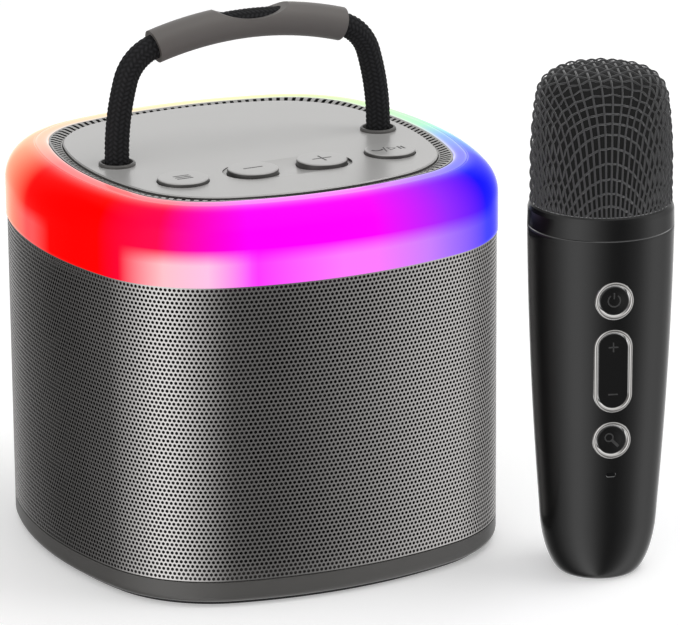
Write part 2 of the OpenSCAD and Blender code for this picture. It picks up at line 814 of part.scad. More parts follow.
foot_steps = [0, 0.4, 1.2, 2.4, 4, 6, 8.5, 12];
side_steps = [for (i = [0:8]) foot_h + (barrel_h - foot_h)*i/8];
barrel_steps = concat(foot_steps, side_steps);

module barrel_solid(inset, from_z, to_z) {
    zs = [for (z = barrel_steps) if (z > from_z && z < to_z) z];
    rotate_extrude() polygon(concat(
        [[0, from_z], [barrel_r(from_z) - inset, from_z]],
        [for (z = zs) [barrel_r(z) - inset, z]],
        [[barrel_r(to_z) - inset, to_z], [0, to_z]]));
}

module mic_barrel() {
    hole_r = bezel_r + seat_gap/2;
    color([0.06, 0.06, 0.06]) difference() {
        union() {
            at_mic() difference() {
                barrel_solid(0, 0, barrel_h);
                barrel_solid(barrel_t, mic_floor_t, barrel_h - 0.01);
                disc(mic_r - barrel_t, barrel_h - 4, barrel_h + cut);
            }
            at_mic() intersection() {
                barrel_solid(barrel_t/2, 1, barrel_h - 8);
                for (s = [-1, 1]) translate([s*12.2 - 4, 0, 1]) cube([8, 1.6, barrel_h]);
            }
        }
        at_key(power_z) disc(hole_r, 8, mic_r + cut);
        at_key(effect_z) disc(hole_r, 8, mic_r + cut);
        at_key(rocker_z) translate([0, 0, 8]) rotate(90) pill(rocker_l + seat_gap, 2*hole_r, mic_r);
        at_key(light_z) translate([0, 0, 8]) pill(2.4, 1.2, mic_r);
        at_mic() translate([0, -1.7 - usb_t/2, -cut]) pill(usb_w + run_gap, usb_t + run_gap, mic_floor_t + 2*cut);
    }
}

module mic_collar() {
    color([0.06, 0.06, 0.06]) at_mic() rotate_extrude() polygon([
        [mic_r - barrel_t - 1.3, barrel_h - 3.5], [mic_r - barrel_t - seat_gap, barrel_h - 3.5],
        [mic_r - barrel_t - seat_gap, barrel_h], [mic_r - 0.25, barrel_h], [mic_r, barrel_h + 0.3],
        [mic_r - 0.1, mesh_z - 1.4], [mic_r - 0.45, mesh_z - 0.4], [mic_r - 0.9, mesh_z],
        [mesh_r - 2.2, mesh_z], [mesh_r - 2.2, mesh_z - 2], [mic_r - barrel_t - 1.3, mesh_z - 2]]);
}

// Radius and height of a point on each part of the mesh's outline, by its angle
function steep_pt(a) = [mesh_r - steep_r*(1 - cos(a)), steep_z + steep_r*sin(a)];
function shoulder_pt(a) = [shoulder_x + shoulder_r*cos(a), shoulder_z + shoulder_r*sin(a)];
function crown_pt(a) = [crown_r*cos(a), crown_z + crown_r*sin(a)];

// The dome's outline from its rim to the middle of its crown, a distance outside it
function dome(out) = concat(
    [[mesh_r + out, mesh_z]],
    [for (i = [0:4]) steep_pt(steep_turn*i/4) + [out, 0]],
    [for (a = [20:12:68]) shoulder_pt(a) + out*[cos(a), sin(a)]],
    [for (a = [80, 84]) crown_pt(a) + [0, out]],
    [[0, crown_z + crown_r + out]]);
function reversed(v) = [for (i = [len(v) - 1:-1:0]) v[i]];

module dome_shell(out, inner) {
    rotate_extrude() polygon(concat(dome(out), reversed(dome(inner))));
}

module mic_mesh() {
    hub_r = 3.5;
    side_rows = 5;
    rise = steep_pt(steep_turn)[1] - mesh_z;
    color([0.07, 0.07, 0.07]) at_mic() intersection() {
        dome_shell(wire_d/2, -wire_d/2);
        union() {
            for (i = [0:mesh_wires/2 - 1]) rotate(360*i/mesh_wires)
                translate([-mesh_d, -wire_d/2, mesh_z - cut]) cube([2*mesh_d, wire_d, mic_h]);
            for (i = [0:side_rows]) let (z = mesh_z + rise*i/side_rows)
                disc(mesh_d, z, z + wire_d);
            for (r = [7.5, 11.5, 14.5]) tube(r, r + wire_d, shoulder_z, mic_h + cut);
            disc(hub_r, shoulder_z, mic_h + cut);
        }
    }
}

module mic_foam() {
    gap = wire_d/2 + 0.15;
    foam_t = 3;
    color([0.12, 0.12, 0.12]) at_mic() dome_shell(-gap, -gap - foam_t);
}

capsule_r = 4.85;
capsule_z = mesh_z + 9.7;

module mic_capsule_cradle() {
    color([0.1, 0.1, 0.1]) at_mic() rotate_extrude() polygon([
        [0, mesh_z - 4.5], [mic_r - barrel_t - 1.4, mesh_z - 4.5], [mic_r - barrel_t - 1.4, mesh_z - 2.05],
        [9, mesh_z - 2.05], [capsule_r + 1.4, mesh_z], [capsule_r + 1.4, capsule_z + 4],
        [capsule_r + 0.05, capsule_z + 4], [capsule_r + 0.05, capsule_z], [0, capsule_z]]);
}

module mic_capsule() {
    color([0.7, 0.7, 0.68]) at_mic() difference() {
        disc(capsule_r, capsule_z, capsule_z + 6.6);
        tube(capsule_r - 1.4, capsule_r - 1, capsule_z + 6.2, capsule_z + 8);
    }
}

module mic_board() {
    color([0.1, 0.35, 0.2]) at_mic() {
        translate([-mic_board_w/2, -board_t, 9]) cube([mic_board_w, board_t, barrel_h - 14]);
        for (z = [power_z, rocker_z + 6, rocker_z - 6, effect_z]) translate([0, 0, z]) rotate([90, 0, 0]) {
            translate([-3, -3, board_t - 0.1]) cube([6, 6, 3.6]);
            disc(1.6, board_t, -mic_switch_y);
        }
    }
}

module mic_battery() {
    color([0.7, 0.7, 0.72]) at_mic() translate([-mic_cell_w/2, 0.25, mic_cell_z])
        cube([mic_cell_w, mic_cell_t, mic_cell_l]);
}

module mic_usb_socket() {
    color([0.7, 0.7, 0.72]) at_mic() {
        translate([0, -1.7 - usb_t/2, 0.5]) rotate([180, 0, 0]) usb_receptacle(8.8);
    }
}

// A polished frame seated in the barrel's wall: its face stands just proud of the wall
function face_y(z) = barrel_r(z) + bezel_proud;
bezel_depth = 3.2;
key_r = bezel_r - bezel_t - run_gap;

module round_bezel(z) {
    f = face_y(z);
    color([0.85, 0.85, 0.86]) at_key(z) rotate_extrude() polygon([
        [bezel_r - bezel_t, f - bezel_depth], [bezel_r, f - bezel_depth], [bezel_r, f - 0.25],
        [bezel_r - 0.25, f], [bezel_r - bezel_t + 0.2, f], [bezel_r - bezel_t, f - 0.2]]);
}

module mic_power_bezel() { round_bezel(power_z); }
module mic_effect_bezel() { round_bezel(effect_z); }

module mic_rocker_bezel() {
    f = face_y(rocker_z);
    color([0.85, 0.85, 0.86]) at_key(rocker_z) difference() {
        translate([0, 0, f - 5.4]) rotate(90) pill(rocker_l, bezel_d, 5.4);
        translate([0, 0, f - 5.4 - cut]) rotate(90)
            pill(rocker_l - 2*bezel_t, bezel_d - 2*bezel_t, 5.4 + 2*cut);
        translate([0, 0, f - 4.2]) rotate([0, 90, 0]) cylinder(r = 0.8 + pin_gap, h = 2*bezel_d, center = true);
    }
}

module round_key(z) {
    f = face_y(z);
    top = f - key_sink;
    low = f - bezel_depth;
    dish = 0.35;
    color([0.07, 0.07, 0.07]) at_key(z) rotate_extrude() polygon(concat(
        [[0, -mic_switch_y + stem_gap], [1.5, -mic_switch_y + stem_gap], [1.5, low - 0.9],
        [bezel_r - 0.4, low - 0.9], [bezel_r - 0.4, low], [key_r, low], [key_r, top - 0.2], [key_r - 0.2, top]],
        [for (i = [4:-1:0]) [(key_r - 0.5)*i/5, top - dish*(1 - pow(i/5, 2))]]));
}

module mic_power_button() { round_key(power_z); }
module mic_effect_button() { round_key(effect_z); }

module mic_volume_rocker() {
    f = face_y(rocker_z);
    w = bezel_d - 2*bezel_t - 2*run_gap;
    l = rocker_l - 2*bezel_t - 2*run_gap;
    color([0.07, 0.07, 0.07]) at_key(rocker_z) {
        translate([0, 0, f - 5]) rotate(90) pill(l, w, 5 - key_sink);
        translate([0, 0, f - 4.2]) rotate([0, 90, 0]) cylinder(r = 0.8, h = bezel_d - 0.3, center = true);
        for (s = [-1, 1]) translate([0, s*6, 0]) disc(1.4, -mic_switch_y + stem_gap, f - 4.6);
    }
}

module mic_light_pipe() {
    color([0.4, 0.4, 0.4]) at_key(light_z) translate([0, 0, board_t])
        pill(2.4 - seat_gap, 1.2 - seat_gap, barrel_r(light_z) - 0.35 - board_t);
}

non_slip_pad();
base_cover();
base_screws();
grille_sleeve();
inner_cabinet();
driver_basket();
driver_magnet();
driver_surround();
driver_cone();
radiator_surround();
radiator_plate();
battery_cradle();
battery_cell();
main_board();
port_panel();
usb_c_socket();
aux_socket();
card_socket();
power_switch_body();
power_slider();
top_frame();
frame_screws();
led_strip();
light_ring();
vent_ring();
control_deck();
switch_board();
mode_button();
minus_button();
plus_button();
play_button();
rope_grommets();
rope_tails();
rope_stoppers();
handle_rope();
handle_grip();
mic_barrel();
mic_collar();
mic_mesh();
mic_foam();
mic_capsule();
mic_capsule_cradle();
mic_board();
mic_battery();
mic_usb_socket();
mic_power_bezel();
mic_rocker_bezel();
mic_effect_bezel();
mic_power_button();
mic_volume_rocker();
mic_effect_button();
mic_light_pipe();
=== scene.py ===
# %% [markdown]
# # A portable karaoke speaker and its hand microphone
# The solids come first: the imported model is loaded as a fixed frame, and every piece
# below is built in metres in that same frame, so nothing has to be fitted afterwards.

# %% Load the frame
import json
import math

import bmesh
import bpy
import numpy as np
from mathutils import Matrix, Vector

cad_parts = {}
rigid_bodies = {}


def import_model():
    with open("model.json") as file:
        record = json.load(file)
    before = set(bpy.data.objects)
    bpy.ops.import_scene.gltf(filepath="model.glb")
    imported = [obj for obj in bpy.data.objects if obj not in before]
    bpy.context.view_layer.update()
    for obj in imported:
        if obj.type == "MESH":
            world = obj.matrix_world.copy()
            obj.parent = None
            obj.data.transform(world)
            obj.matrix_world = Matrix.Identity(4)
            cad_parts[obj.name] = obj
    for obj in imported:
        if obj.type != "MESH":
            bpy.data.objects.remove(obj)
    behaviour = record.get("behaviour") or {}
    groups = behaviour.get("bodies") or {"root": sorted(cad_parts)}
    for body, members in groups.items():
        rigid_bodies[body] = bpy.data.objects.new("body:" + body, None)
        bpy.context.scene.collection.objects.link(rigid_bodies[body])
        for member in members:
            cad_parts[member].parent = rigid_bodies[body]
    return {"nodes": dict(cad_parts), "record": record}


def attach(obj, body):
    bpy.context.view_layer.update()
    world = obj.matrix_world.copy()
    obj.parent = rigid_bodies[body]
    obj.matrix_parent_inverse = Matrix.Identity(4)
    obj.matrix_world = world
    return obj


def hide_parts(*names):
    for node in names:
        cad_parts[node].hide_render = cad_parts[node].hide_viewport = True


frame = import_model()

MM = 0.001
scene = bpy.context.scene
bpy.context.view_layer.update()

# %% [markdown]
# ## The camera
# The photograph is taken from a little left of the front and slightly above, with a long
# lens, so upright edges stay almost upright. The camera is set from measured angles and
# not by eye.

# %% Camera
CAMERA_PLACE = Vector((-0.47863, -0.99639, 0.39256))
CAMERA_TURN, CAMERA_TILT, CAMERA_ROLL = (math.radians(a) for a in (-26.82, 16.92, -0.386))
CAMERA_LENS = 241.44

backwards = Vector((
    math.sin(CAMERA_TURN) * math.cos(CAMERA_TILT),
    -math.cos(CAMERA_TURN) * math.cos(CAMERA_TILT),
    math.sin(CAMERA_TILT),
))
level = Vector((math.cos(CAMERA_TURN), math.sin(CAMERA_TURN), 0))
upright = backwards.cross(level)
rightwards = level * math.cos(CAMERA_ROLL) + upright * math.sin(CAMERA_ROLL)
upwards = upright * math.cos(CAMERA_ROLL) - level * math.sin(CAMERA_ROLL)

camera_data = bpy.data.cameras.new("camera")
camera_data.sensor_width = 36
camera_data.lens = CAMERA_LENS
camera_data.clip_start, camera_data.clip_end = 0.05, 20
camera = bpy.data.objects.new("camera", camera_data)
camera.matrix_world = Matrix.Translation(CAMERA_PLACE) @ Matrix(
    (rightwards, upwards, backwards)).transposed().to_4x4()
scene.collection.objects.link(camera)
scene.camera = camera
scene.view_settings.view_transform = "Standard"
print("camera lens:", round(camera_data.lens, 1), "mm")

# %% [markdown]
# ## Finishes that several materials share
# Real plastics, paints and metals are never one flat colour. Small node groups give
# each finish its life: one makes the fine moulded grain, and one makes the slow, barely
# visible unevenness in colour and shine that making and handling leave behind. A third
# paints shade on upright sides. First come small helpers that make and join the nodes.

# %% Node helpers
def wire(tree, source, target):
    tree.links.new(source, target)


def math_node(tree, operation, first, second=None, third=None, clamp=False):
    node = tree.nodes.new("ShaderNodeMath")
    node.operation, node.use_clamp = operation, clamp
    for place, value in enumerate((first, second, third)):
        if value is None:
            continue
        if isinstance(value, (int, float)):
            node.inputs[place].default_value = value
        else:
            wire(tree, value, node.inputs[place])
    return node.outputs[0]


def add_mix(tree, factor, first, second):
    """A colour mix; the factor is linked, and each colour is linked or set."""
    mix = tree.nodes.new("ShaderNodeMix")
    mix.data_type = "RGBA"
    wire(tree, factor, mix.inputs["Factor"])
    for name, colour in (("A", first), ("B", second)):
        if isinstance(colour, tuple):
            mix.inputs[name].default_value = colour
        else:
            wire(tree, colour, mix.inputs[name])
    return mix.outputs["Result"]


def add_scale(tree, colour, amount):
    """A colour times a number, which is linked or set."""
    scale = tree.nodes.new("ShaderNodeVectorMath")
    scale.operation = "SCALE"
    wire(tree, colour, scale.inputs[0])
    if isinstance(amount, float):
        scale.inputs["Scale"].default_value = amount
    else:
        wire(tree, amount, scale.inputs["Scale"])
    return scale.outputs[0]


def new_group(name, inputs, outputs):
    """A node group with its sockets, and the nodes for what comes in and what goes out."""
    group = bpy.data.node_groups.new(name, "ShaderNodeTree")
    for socket, value in inputs.items():
        kind = "NodeSocketColor" if isinstance(value, tuple) else "NodeSocketFloat"
        made = group.interface.new_socket(name=socket, in_out="INPUT", socket_type=kind)
        made.default_value = value
    for socket, kind in outputs.items():
        group.interface.new_socket(name=socket, in_out="OUTPUT", socket_type=f"NodeSocket{kind}")
    return group, group.nodes.new("NodeGroupInput"), group.nodes.new("NodeGroupOutput")


def object_noise(tree, size, detail):
    """Cloudy noise on the piece's own coordinates, at a linked size."""
    place = tree.nodes.new("ShaderNodeTexCoord")
    noise = tree.nodes.new("ShaderNodeTexNoise")
    noise.inputs["Detail"].default_value = detail
    wire(tree, place.outputs["Object"], noise.inputs["Vector"])
    wire(tree, size, noise.inputs["Scale"])
    return noise.outputs["Fac"]


def direction_ramp(tree, coordinates, stops):
    """A colour by the direction round Z, and Z. Stops: degrees from +X, 0 to 360, and colour."""
    place = tree.nodes.new("ShaderNodeTexCoord")
    split = tree.nodes.new("ShaderNodeSeparateXYZ")
    wire(tree, place.outputs[coordinates], split.inputs[0])
    turn = math_node(tree, "ARCTAN2", split.outputs["Y"], split.outputs["X"])
    share = math_node(tree, "FRACT", math_node(tree, "DIVIDE", turn, 2 * math.pi))
    ramp = tree.nodes.new("ShaderNodeValToRGB")
    wire(tree, share, ramp.inputs[0])
    marks = ramp.color_ramp.elements
    for degrees, colour in stops:
        mark = {0: marks[0], 360: marks[-1]}.get(degrees) or marks.new(degrees / 360)
        mark.color = (*colour, 1)
    return ramp.outputs["Color"], split.outputs["Z"]


# %% Node group: moulded grain
def make_grain_group():
    """Fine bumps for moulded or sprayed surfaces: size in bumps per metre."""
    group, enter, leave = new_group("moulded grain", {"Size": 3000.0}, {"Height": "Float"})
    wire(group, object_noise(group, enter.outputs["Size"], 3), leave.inputs["Height"])
    return group


GRAIN = make_grain_group()
print("made group:", GRAIN.name)

# %% Node group: slow unevenness
def make_unevenness_group():
    """A colour and a roughness that drift a little over the surface."""
    group, enter, leave = new_group(
        "slow unevenness", {"Colour": (0.5, 0.5, 0.5, 1), "Colour drift": 0.08, "Roughness": 0.4,
                            "Roughness drift": 0.08, "Size": 60.0},
        {"Colour": "Color", "Roughness": "Float"})
    swing = math_node(group, "SUBTRACT", object_noise(group, enter.outputs["Size"], 4), 0.5)
    lift = math_node(group, "MULTIPLY_ADD", swing, enter.outputs["Colour drift"], 1.0)
    wire(group, add_scale(group, enter.outputs["Colour"], lift), leave.inputs["Colour"])
    rough = math_node(group, "MULTIPLY_ADD", swing, enter.outputs["Roughness drift"],
                      enter.outputs["Roughness"], clamp=True)
    wire(group, rough, leave.inputs["Roughness"])
    return group


UNEVENNESS = make_unevenness_group()
print("made group:", UNEVENNESS.name)

# %% Node group: painted shade on upright sides
SIDE_SHADE_SLOPE, SIDE_SHADE_START = 2.4, -0.7


def make_side_shade_group():
    """Painted shade: a darker colour on the sides that stand upright, where a gap keeps the light
    out.
    """
    group, enter, leave = new_group(
        "painted side shade", {"Top colour": (0.5, 0.5, 0.5, 1), "Side colour": (0.1, 0.1, 0.1, 1)},
        {"Colour": "Color"})
    place = group.nodes.new("ShaderNodeTexCoord")
    split = group.nodes.new("ShaderNodeSeparateXYZ")
    wire(group, place.outputs["Normal"], split.inputs[0])
    steep = math_node(group, "ABSOLUTE", split.outputs["Z"])
    flat = math_node(group, "MULTIPLY_ADD", steep, SIDE_SHADE_SLOPE, SIDE_SHADE_START, clamp=True)
    mixed = add_mix(group, flat, enter.outputs["Side colour"], enter.outputs["Top colour"])
    wire(group, mixed, leave.inputs["Colour"])
    return group


SIDE_SHADE = make_side_shade_group()
print("made group:", SIDE_SHADE.name)

# %% [markdown]
# ## One recipe for most finishes
# Nearly every surface here is a base colour, a roughness, a fine grain and sometimes
# metal or painted shade on upright sides. One helper writes that recipe, and each
# finish gets its own numbers.

# %% Finish helper
def group_node(tree, group, **values):
    node = tree.nodes.new("ShaderNodeGroup")
    node.node_tree = group
    for name, value in values.items():
        node.inputs[name.replace("_", " ").capitalize()].default_value = value
    return node


def add_bump(tree, height, depth_mm, shader):
    bump = tree.nodes.new("ShaderNodeBump")
    bump.inputs["Strength"].default_value = 1.0
    bump.inputs["Distance"].default_value = depth_mm * MM
    wire(tree, height, bump.inputs["Height"])
    wire(tree, bump.outputs["Normal"], shader.inputs["Normal"])


def finish(name, colour, roughness, metallic=0.0, grain=3000.0, grain_mm=0.006,
           colour_drift=0.10, roughness_drift=0.10, shine=0.5, side=None):
    """A solid finish: colour in linear light, grain in bumps per metre, depth in mm; side is a
    painted shade colour for upright sides.
    """
    material = bpy.data.materials.new(name)
    material.use_nodes = True
    tree = material.node_tree
    shader = tree.nodes["Principled BSDF"]
    drift = group_node(tree, UNEVENNESS, colour=(*colour, 1), roughness=roughness,
                       colour_drift=colour_drift, roughness_drift=roughness_drift)
    wire(tree, drift.outputs["Colour"], shader.inputs["Base Color"])
    wire(tree, drift.outputs["Roughness"], shader.inputs["Roughness"])
    # side: painted shade, a darker colour on the upright sides
    if side:
        upright = group_node(tree, SIDE_SHADE, side_colour=(*side, 1))
        wire(tree, drift.outputs["Colour"], upright.inputs["Top colour"])
        wire(tree, upright.outputs["Colour"], shader.inputs["Base Color"])
    shader.inputs["Metallic"].default_value = metallic
    shader.inputs["Specular IOR Level"].default_value = shine
    grain_node = group_node(tree, GRAIN, size=grain)
    add_bump(tree, grain_node.outputs["Height"], grain_mm, shader)
    return material


# %% The plain finishes
FINISHES = {
    "black_rubber": finish("black moulded rubber", (0.030, 0.030, 0.031), 0.75, grain=2500,
                           grain_mm=0.02),
    "base_plastic": finish("dark grey moulded plastic", (0.095, 0.092, 0.088), 0.36, grain=4200,
                           grain_mm=0.004),
    "grille_metal": finish("gunmetal paint", (0.52, 0.505, 0.495), 0.25, metallic=1.0, grain=2600,
                           grain_mm=0.002, colour_drift=0.10),
    "cabinet_plastic": finish("plain black plastic", (0.020, 0.020, 0.020), 0.55),
    "frame_metal": finish("black painted steel", (0.030, 0.030, 0.032), 0.40, metallic=0.3),
    "magnet_metal": finish("plated steel", (0.42, 0.42, 0.43), 0.38, metallic=1.0, grain=900,
                           grain_mm=0.004),
    "screw_steel": finish("zinc plated steel", (0.55, 0.55, 0.56), 0.30, metallic=1.0, grain=1800),
    "socket_steel": finish("bright plated shell", (0.62, 0.62, 0.63), 0.24, metallic=1.0,
                           grain=1500),
    "surround_rubber": finish("soft black rubber", (0.018, 0.018, 0.018), 0.62),
    "cone_paper": finish("pressed paper cone", (0.040, 0.040, 0.040), 0.85, grain=1400,
                         grain_mm=0.05),
    "radiator_metal": finish("satin aluminium", (0.50, 0.50, 0.51), 0.34, metallic=1.0, grain=2200),
    "battery_wrap": finish("blue shrink sleeve", (0.04, 0.12, 0.32), 0.28, grain=400,
                           grain_mm=0.03),
    "board_green": finish("green solder mask", (0.02, 0.11, 0.05), 0.35, grain=500, grain_mm=0.02),
    "led_white": finish("white light strip", (0.72, 0.72, 0.68), 0.45, grain=700, grain_mm=0.02),
    # side: painted shade on the deck's upright wall in its recess, and on the buttons' sides
    "deck_plastic": finish("pale grey deck plastic", (0.49, 0.485, 0.475), 0.30, metallic=0.3,
                           grain=5200, grain_mm=0.0035, colour_drift=0.05,
                           side=(0.075, 0.073, 0.070)),
    # side: painted shade on the upright walls of the vent slots
    "vent_plastic": finish("pale grey vent plastic", (0.34, 0.335, 0.325), 0.36, grain=5200,
                           grain_mm=0.0035, side=(0.012, 0.012, 0.012)),
    "rope_fabric": finish("black braided yarn", (0.012, 0.012, 0.013), 0.80, grain=6500,
                          grain_mm=0.05, roughness_drift=0.2, shine=0.35),
    "grip_rubber": finish("grey brown rubber", (0.125, 0.115, 0.108), 0.42, grain=5200,
                          grain_mm=0.006),
    "mic_plastic": finish("black satin plastic", (0.0022, 0.0022, 0.0023), 0.22, grain=5200,
                          grain_mm=0.002, roughness_drift=0.05),
    "mesh_steel": finish("black painted wire", (0.075, 0.075, 0.077), 0.36, metallic=0.6,
                         grain=3200),
    "foam_black": finish("black open foam", (0.006, 0.006, 0.006), 0.95, grain=1500, grain_mm=0.25),
    "capsule_metal": finish("capsule can", (0.55, 0.55, 0.53), 0.30, metallic=1.0),
    "bezel_chrome": finish("polished trim", (0.60, 0.585, 0.57), 0.16, metallic=1.0, grain=600,
                           grain_mm=0.001, colour_drift=0.03, roughness_drift=0.05),
    "light_clear": finish("smoky window", (0.0015, 0.0015, 0.0018), 0.5, shine=0.2),
}
print("made", len(FINISHES), "plain finishes")

# %% [markdown]
# ## The light ring's glow
# Inside the frosted ring a strip of coloured lamps washes one colour into the next. The
# colour depends only on the direction from the middle of the speaker, so a colour ramp
# driven by that direction is the simplest true description. The colours are mixed with
# white towards the lip, a painted highlight, and in soft patches low on the wall, painted
# reflections of the soft boxes; a stored mask on the mesh tells the material where. The
# colours of the side that faces the camera were set from the photograph; those behind are
# guesses.

# %% Glow material
def linear(red, green, blue):
    """A colour as a screen shows it (0-255), in linear light."""
    return tuple(((c / 255 + 0.055) / 1.055) ** 2.4 if c > 10 else c / 255 / 12.92
                 for c in (red, green, blue))


RED, ROSE, MAGENTA = (255, 0, 0), (255, 0, 80), (255, 0, 255)
VIOLET, BLUE, SKY = (150, 40, 255), (0, 0, 255), (60, 150, 240)
MINT, LIME, STRAW, PEACH = (140, 240, 180), (215, 255, 140), (255, 236, 150), (255, 180, 140)
GLOW_BY_DIRECTION = (  # degrees from +X, anticlockwise
    (0, MINT), (45, LIME), (80, STRAW), (146, PEACH), (172, RED), (207, RED), (224, ROSE),
    (244, MAGENTA), (276, MAGENTA), (297, VIOLET), (311, BLUE), (326, BLUE), (344, SKY))


WHITE, GLOW_BASE, GLOW_IOR = (1, 1, 1, 1), 0.02, 1.12


def make_glow():
    material = bpy.data.materials.new("lit frosted plastic")
    material.use_nodes = True
    tree = material.node_tree
    shader = tree.nodes["Principled BSDF"]
    stops = [(degrees, linear(*colour)) for degrees, colour in GLOW_BY_DIRECTION]
    glow, _ = direction_ramp(tree, "Object", stops + [(360, stops[0][1])])
    # The stored mask mixes white into the glow: painted highlight at the lip, painted reflections
    # low on the wall.
    lip = tree.nodes.new("ShaderNodeAttribute")
    lip.attribute_name = "lip"
    pale = add_mix(tree, lip.outputs["Fac"], glow, WHITE)
    wire(tree, pale, shader.inputs["Emission Color"])
    shader.inputs["Emission Strength"].default_value = 1.0
    wire(tree, add_scale(tree, pale, GLOW_BASE), shader.inputs["Base Color"])
    grain = group_node(tree, GRAIN, size=700)
    rough = math_node(tree, "MULTIPLY_ADD", grain.outputs["Height"], 0.06, 0.10)
    wire(tree, rough, shader.inputs["Roughness"])
    add_bump(tree, grain.outputs["Height"], 0.002, shader)
    shader.inputs["Specular IOR Level"].default_value = 0.5
    shader.inputs["IOR"].default_value = GLOW_IOR
    return material


GLOW = make_glow()
print("ring colours:", len(GLOW_BY_DIRECTION))

# %% [markdown]
# ## The outline that everything follows
# Seen from above, the speaker is a square with bowed sides and round corners: eight arcs
# that meet smoothly. A small class walks round it and gives, for each step, the point and
# the direction outwards, so that any profile can be carried round.

# %% Outline
class Outline:
    """Four shallow side arcs and four corner arcs, anticlockwise from the right side."""

    def __init__(self, half, side_r, corner_r):
        self.half, self.side_r, self.corner_r = half, side_r, corner_r
        span = half - side_r
        self.corner_at = (span + math.sqrt(2 * (side_r - corner_r) ** 2 - span ** 2)) / 2
        self.turn = math.atan2(self.corner_at, self.corner_at - span)
        self.side_length = 2 * self.turn * side_r
        self.quarter = self.side_length + (math.pi / 2 - 2 * self.turn) * corner_r

    def at(self, along):
        """Points and outward directions at distances along the outline."""
        along = np.asarray(along, float)
        quarter = np.floor(along / self.quarter)
        rest = along - quarter * self.quarter
        on_side = rest < self.side_length
        angle = np.where(on_side, -self.turn + rest / self.side_r,
                         self.turn + (rest - self.side_length) / self.corner_r)
        centre_x = np.where(on_side, self.half - self.side_r, self.corner_at)
        centre_y = np.where(on_side, 0.0, self.corner_at)
        radius = np.where(on_side, self.side_r, self.corner_r)
        x = centre_x + radius * np.cos(angle)
        y = centre_y + radius * np.sin(angle)
        a = quarter * math.pi / 2
        points = np.stack([x * np.cos(a) - y * np.sin(a), x * np.sin(a) + y * np.cos(a)], -1)
        outward = np.stack([np.cos(angle + a), np.sin(angle + a)], -1)
        return points, outward

    def walk(self, side_steps, corner_steps):
        """Places along the outline, even within each arc."""
        places = []
        for quarter in range(4):
            start = quarter * self.quarter
            places += [start + self.side_length * i / side_steps for i in range(side_steps)]
            corner = self.quarter - self.side_length
            places += [start + self.side_length + corner * i / corner_steps
                       for i in range(corner_steps)]
        return np.array(places)


BODY = Outline(57.5, 108.5, 33.5)
print("once round the body:", round(4 * BODY.quarter, 1), "mm")

# %% [markdown]
# ## Turning points and faces into pieces
# Every piece goes through one helper: it makes the mesh, smooths it, gives it its
# finish, and says which moving body of the frame it rides on.

# %% Piece helper
SHARP = math.radians(32)


def add_piece(name, points_mm, faces, body, material, replaces=(), sharp=SHARP, place=None):
    """Points are in millimetres; place moves them, as a matrix in millimetres."""
    points = np.asarray(points_mm, float).reshape(-1, 3)
    if place is not None:
        turn = np.array(place)
        points = points @ turn[:3, :3].T + turn[:3, 3]
    mesh = bpy.data.meshes.new(name)
    faces = faces if isinstance(faces, list) else faces.tolist()
    mesh.from_pydata((points * MM).tolist(), [], faces)
    mesh.validate()
    mesh.materials.append(material)
    mesh.shade_smooth()
    mesh.set_sharp_from_angle(angle=sharp)
    piece = bpy.data.objects.new(name, mesh)
    scene.collection.objects.link(piece)
    piece.visible_glossy = not body.startswith("mic")
    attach(piece, body)
    if replaces:
        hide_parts(*replaces)
    print(f"{name}: {len(mesh.polygons)} faces")
    return piece


def grid_faces(rows, columns, rows_closed=False, columns_closed=False):
    """Quads over a grid of points, row after row."""
    row = np.arange(rows if rows_closed else rows - 1)[:, None]
    column = np.arange(columns if columns_closed else columns - 1)[None, :]
    row_on, column_on = (row + 1) % rows, (column + 1) % columns
    quads = [row * columns + column, row * columns + column_on,
             row_on * columns + column_on, row_on * columns + column]
    return np.stack(np.broadcast_arrays(*quads), -1).reshape(-1, 4)


def carry_round(outline, profile, places):
    """A closed profile of (distance out, height), carried round an outline."""
    points, outward = outline.at(places)
    out = np.array([p[0] for p in profile])[:, None, None]
    height = np.array([p[1] for p in profile])
    flat = points[None] + outward[None] * out
    level = np.broadcast_to(height[:, None, None], flat.shape[:2] + (1,))
    full = np.concatenate([flat, level], -1)
    faces = grid_faces(len(profile), len(places), rows_closed=True, columns_closed=True)
    return full.reshape(-1, 3), faces


# %% [markdown]
# ## Finishes for the solids that stay
# Most solids already have the right shape. They keep it and only get their finish, and
# smooth shading across their curves.

# %% Dress the solids
def smooth_solid(solid, angle=SHARP):
    solid.data.shade_smooth()
    solid.data.set_sharp_from_angle(angle=angle)


def dress_solids():
    slot_of = {row["node"]: row["material_slot"] for row in frame["record"]["subparts"]}
    for node, solid in frame["nodes"].items():
        slot = slot_of[node]
        material = GLOW if slot == "ring_plastic" else FINISHES[slot]
        if node == "vent_ring":
            material = FINISHES["vent_plastic"]
        solid.data.materials.clear()
        solid.data.materials.append(material)
        smooth_solid(solid)
    print("dressed", len(frame["nodes"]), "solids")


dress_solids()

# %% [markdown]
# ## The light ring
# The ring is one moulding: an upright wall, a generous shoulder, a nearly level lip with
# a hairline groove, and a soft edge where the vent ring begins. It is a closed profile
# carried round the body's outline, fine enough that its reflections run without a kink.

# %% Light ring
RING_OUT, RING_SEAM, RING_LIP, SHOULDER_R, RING_WALL, LIP_IN = 0.3, 81.3, 99.9, 9.2, 2.2, 10.7


def shoulder_height(out):
    """Height of the ring's outer face at a distance out from the body's outline."""
    across = out - (RING_OUT - SHOULDER_R)
    if across <= 0:
        return RING_LIP
    return RING_LIP - SHOULDER_R + math.sqrt(max(SHOULDER_R ** 2 - across ** 2, 0))


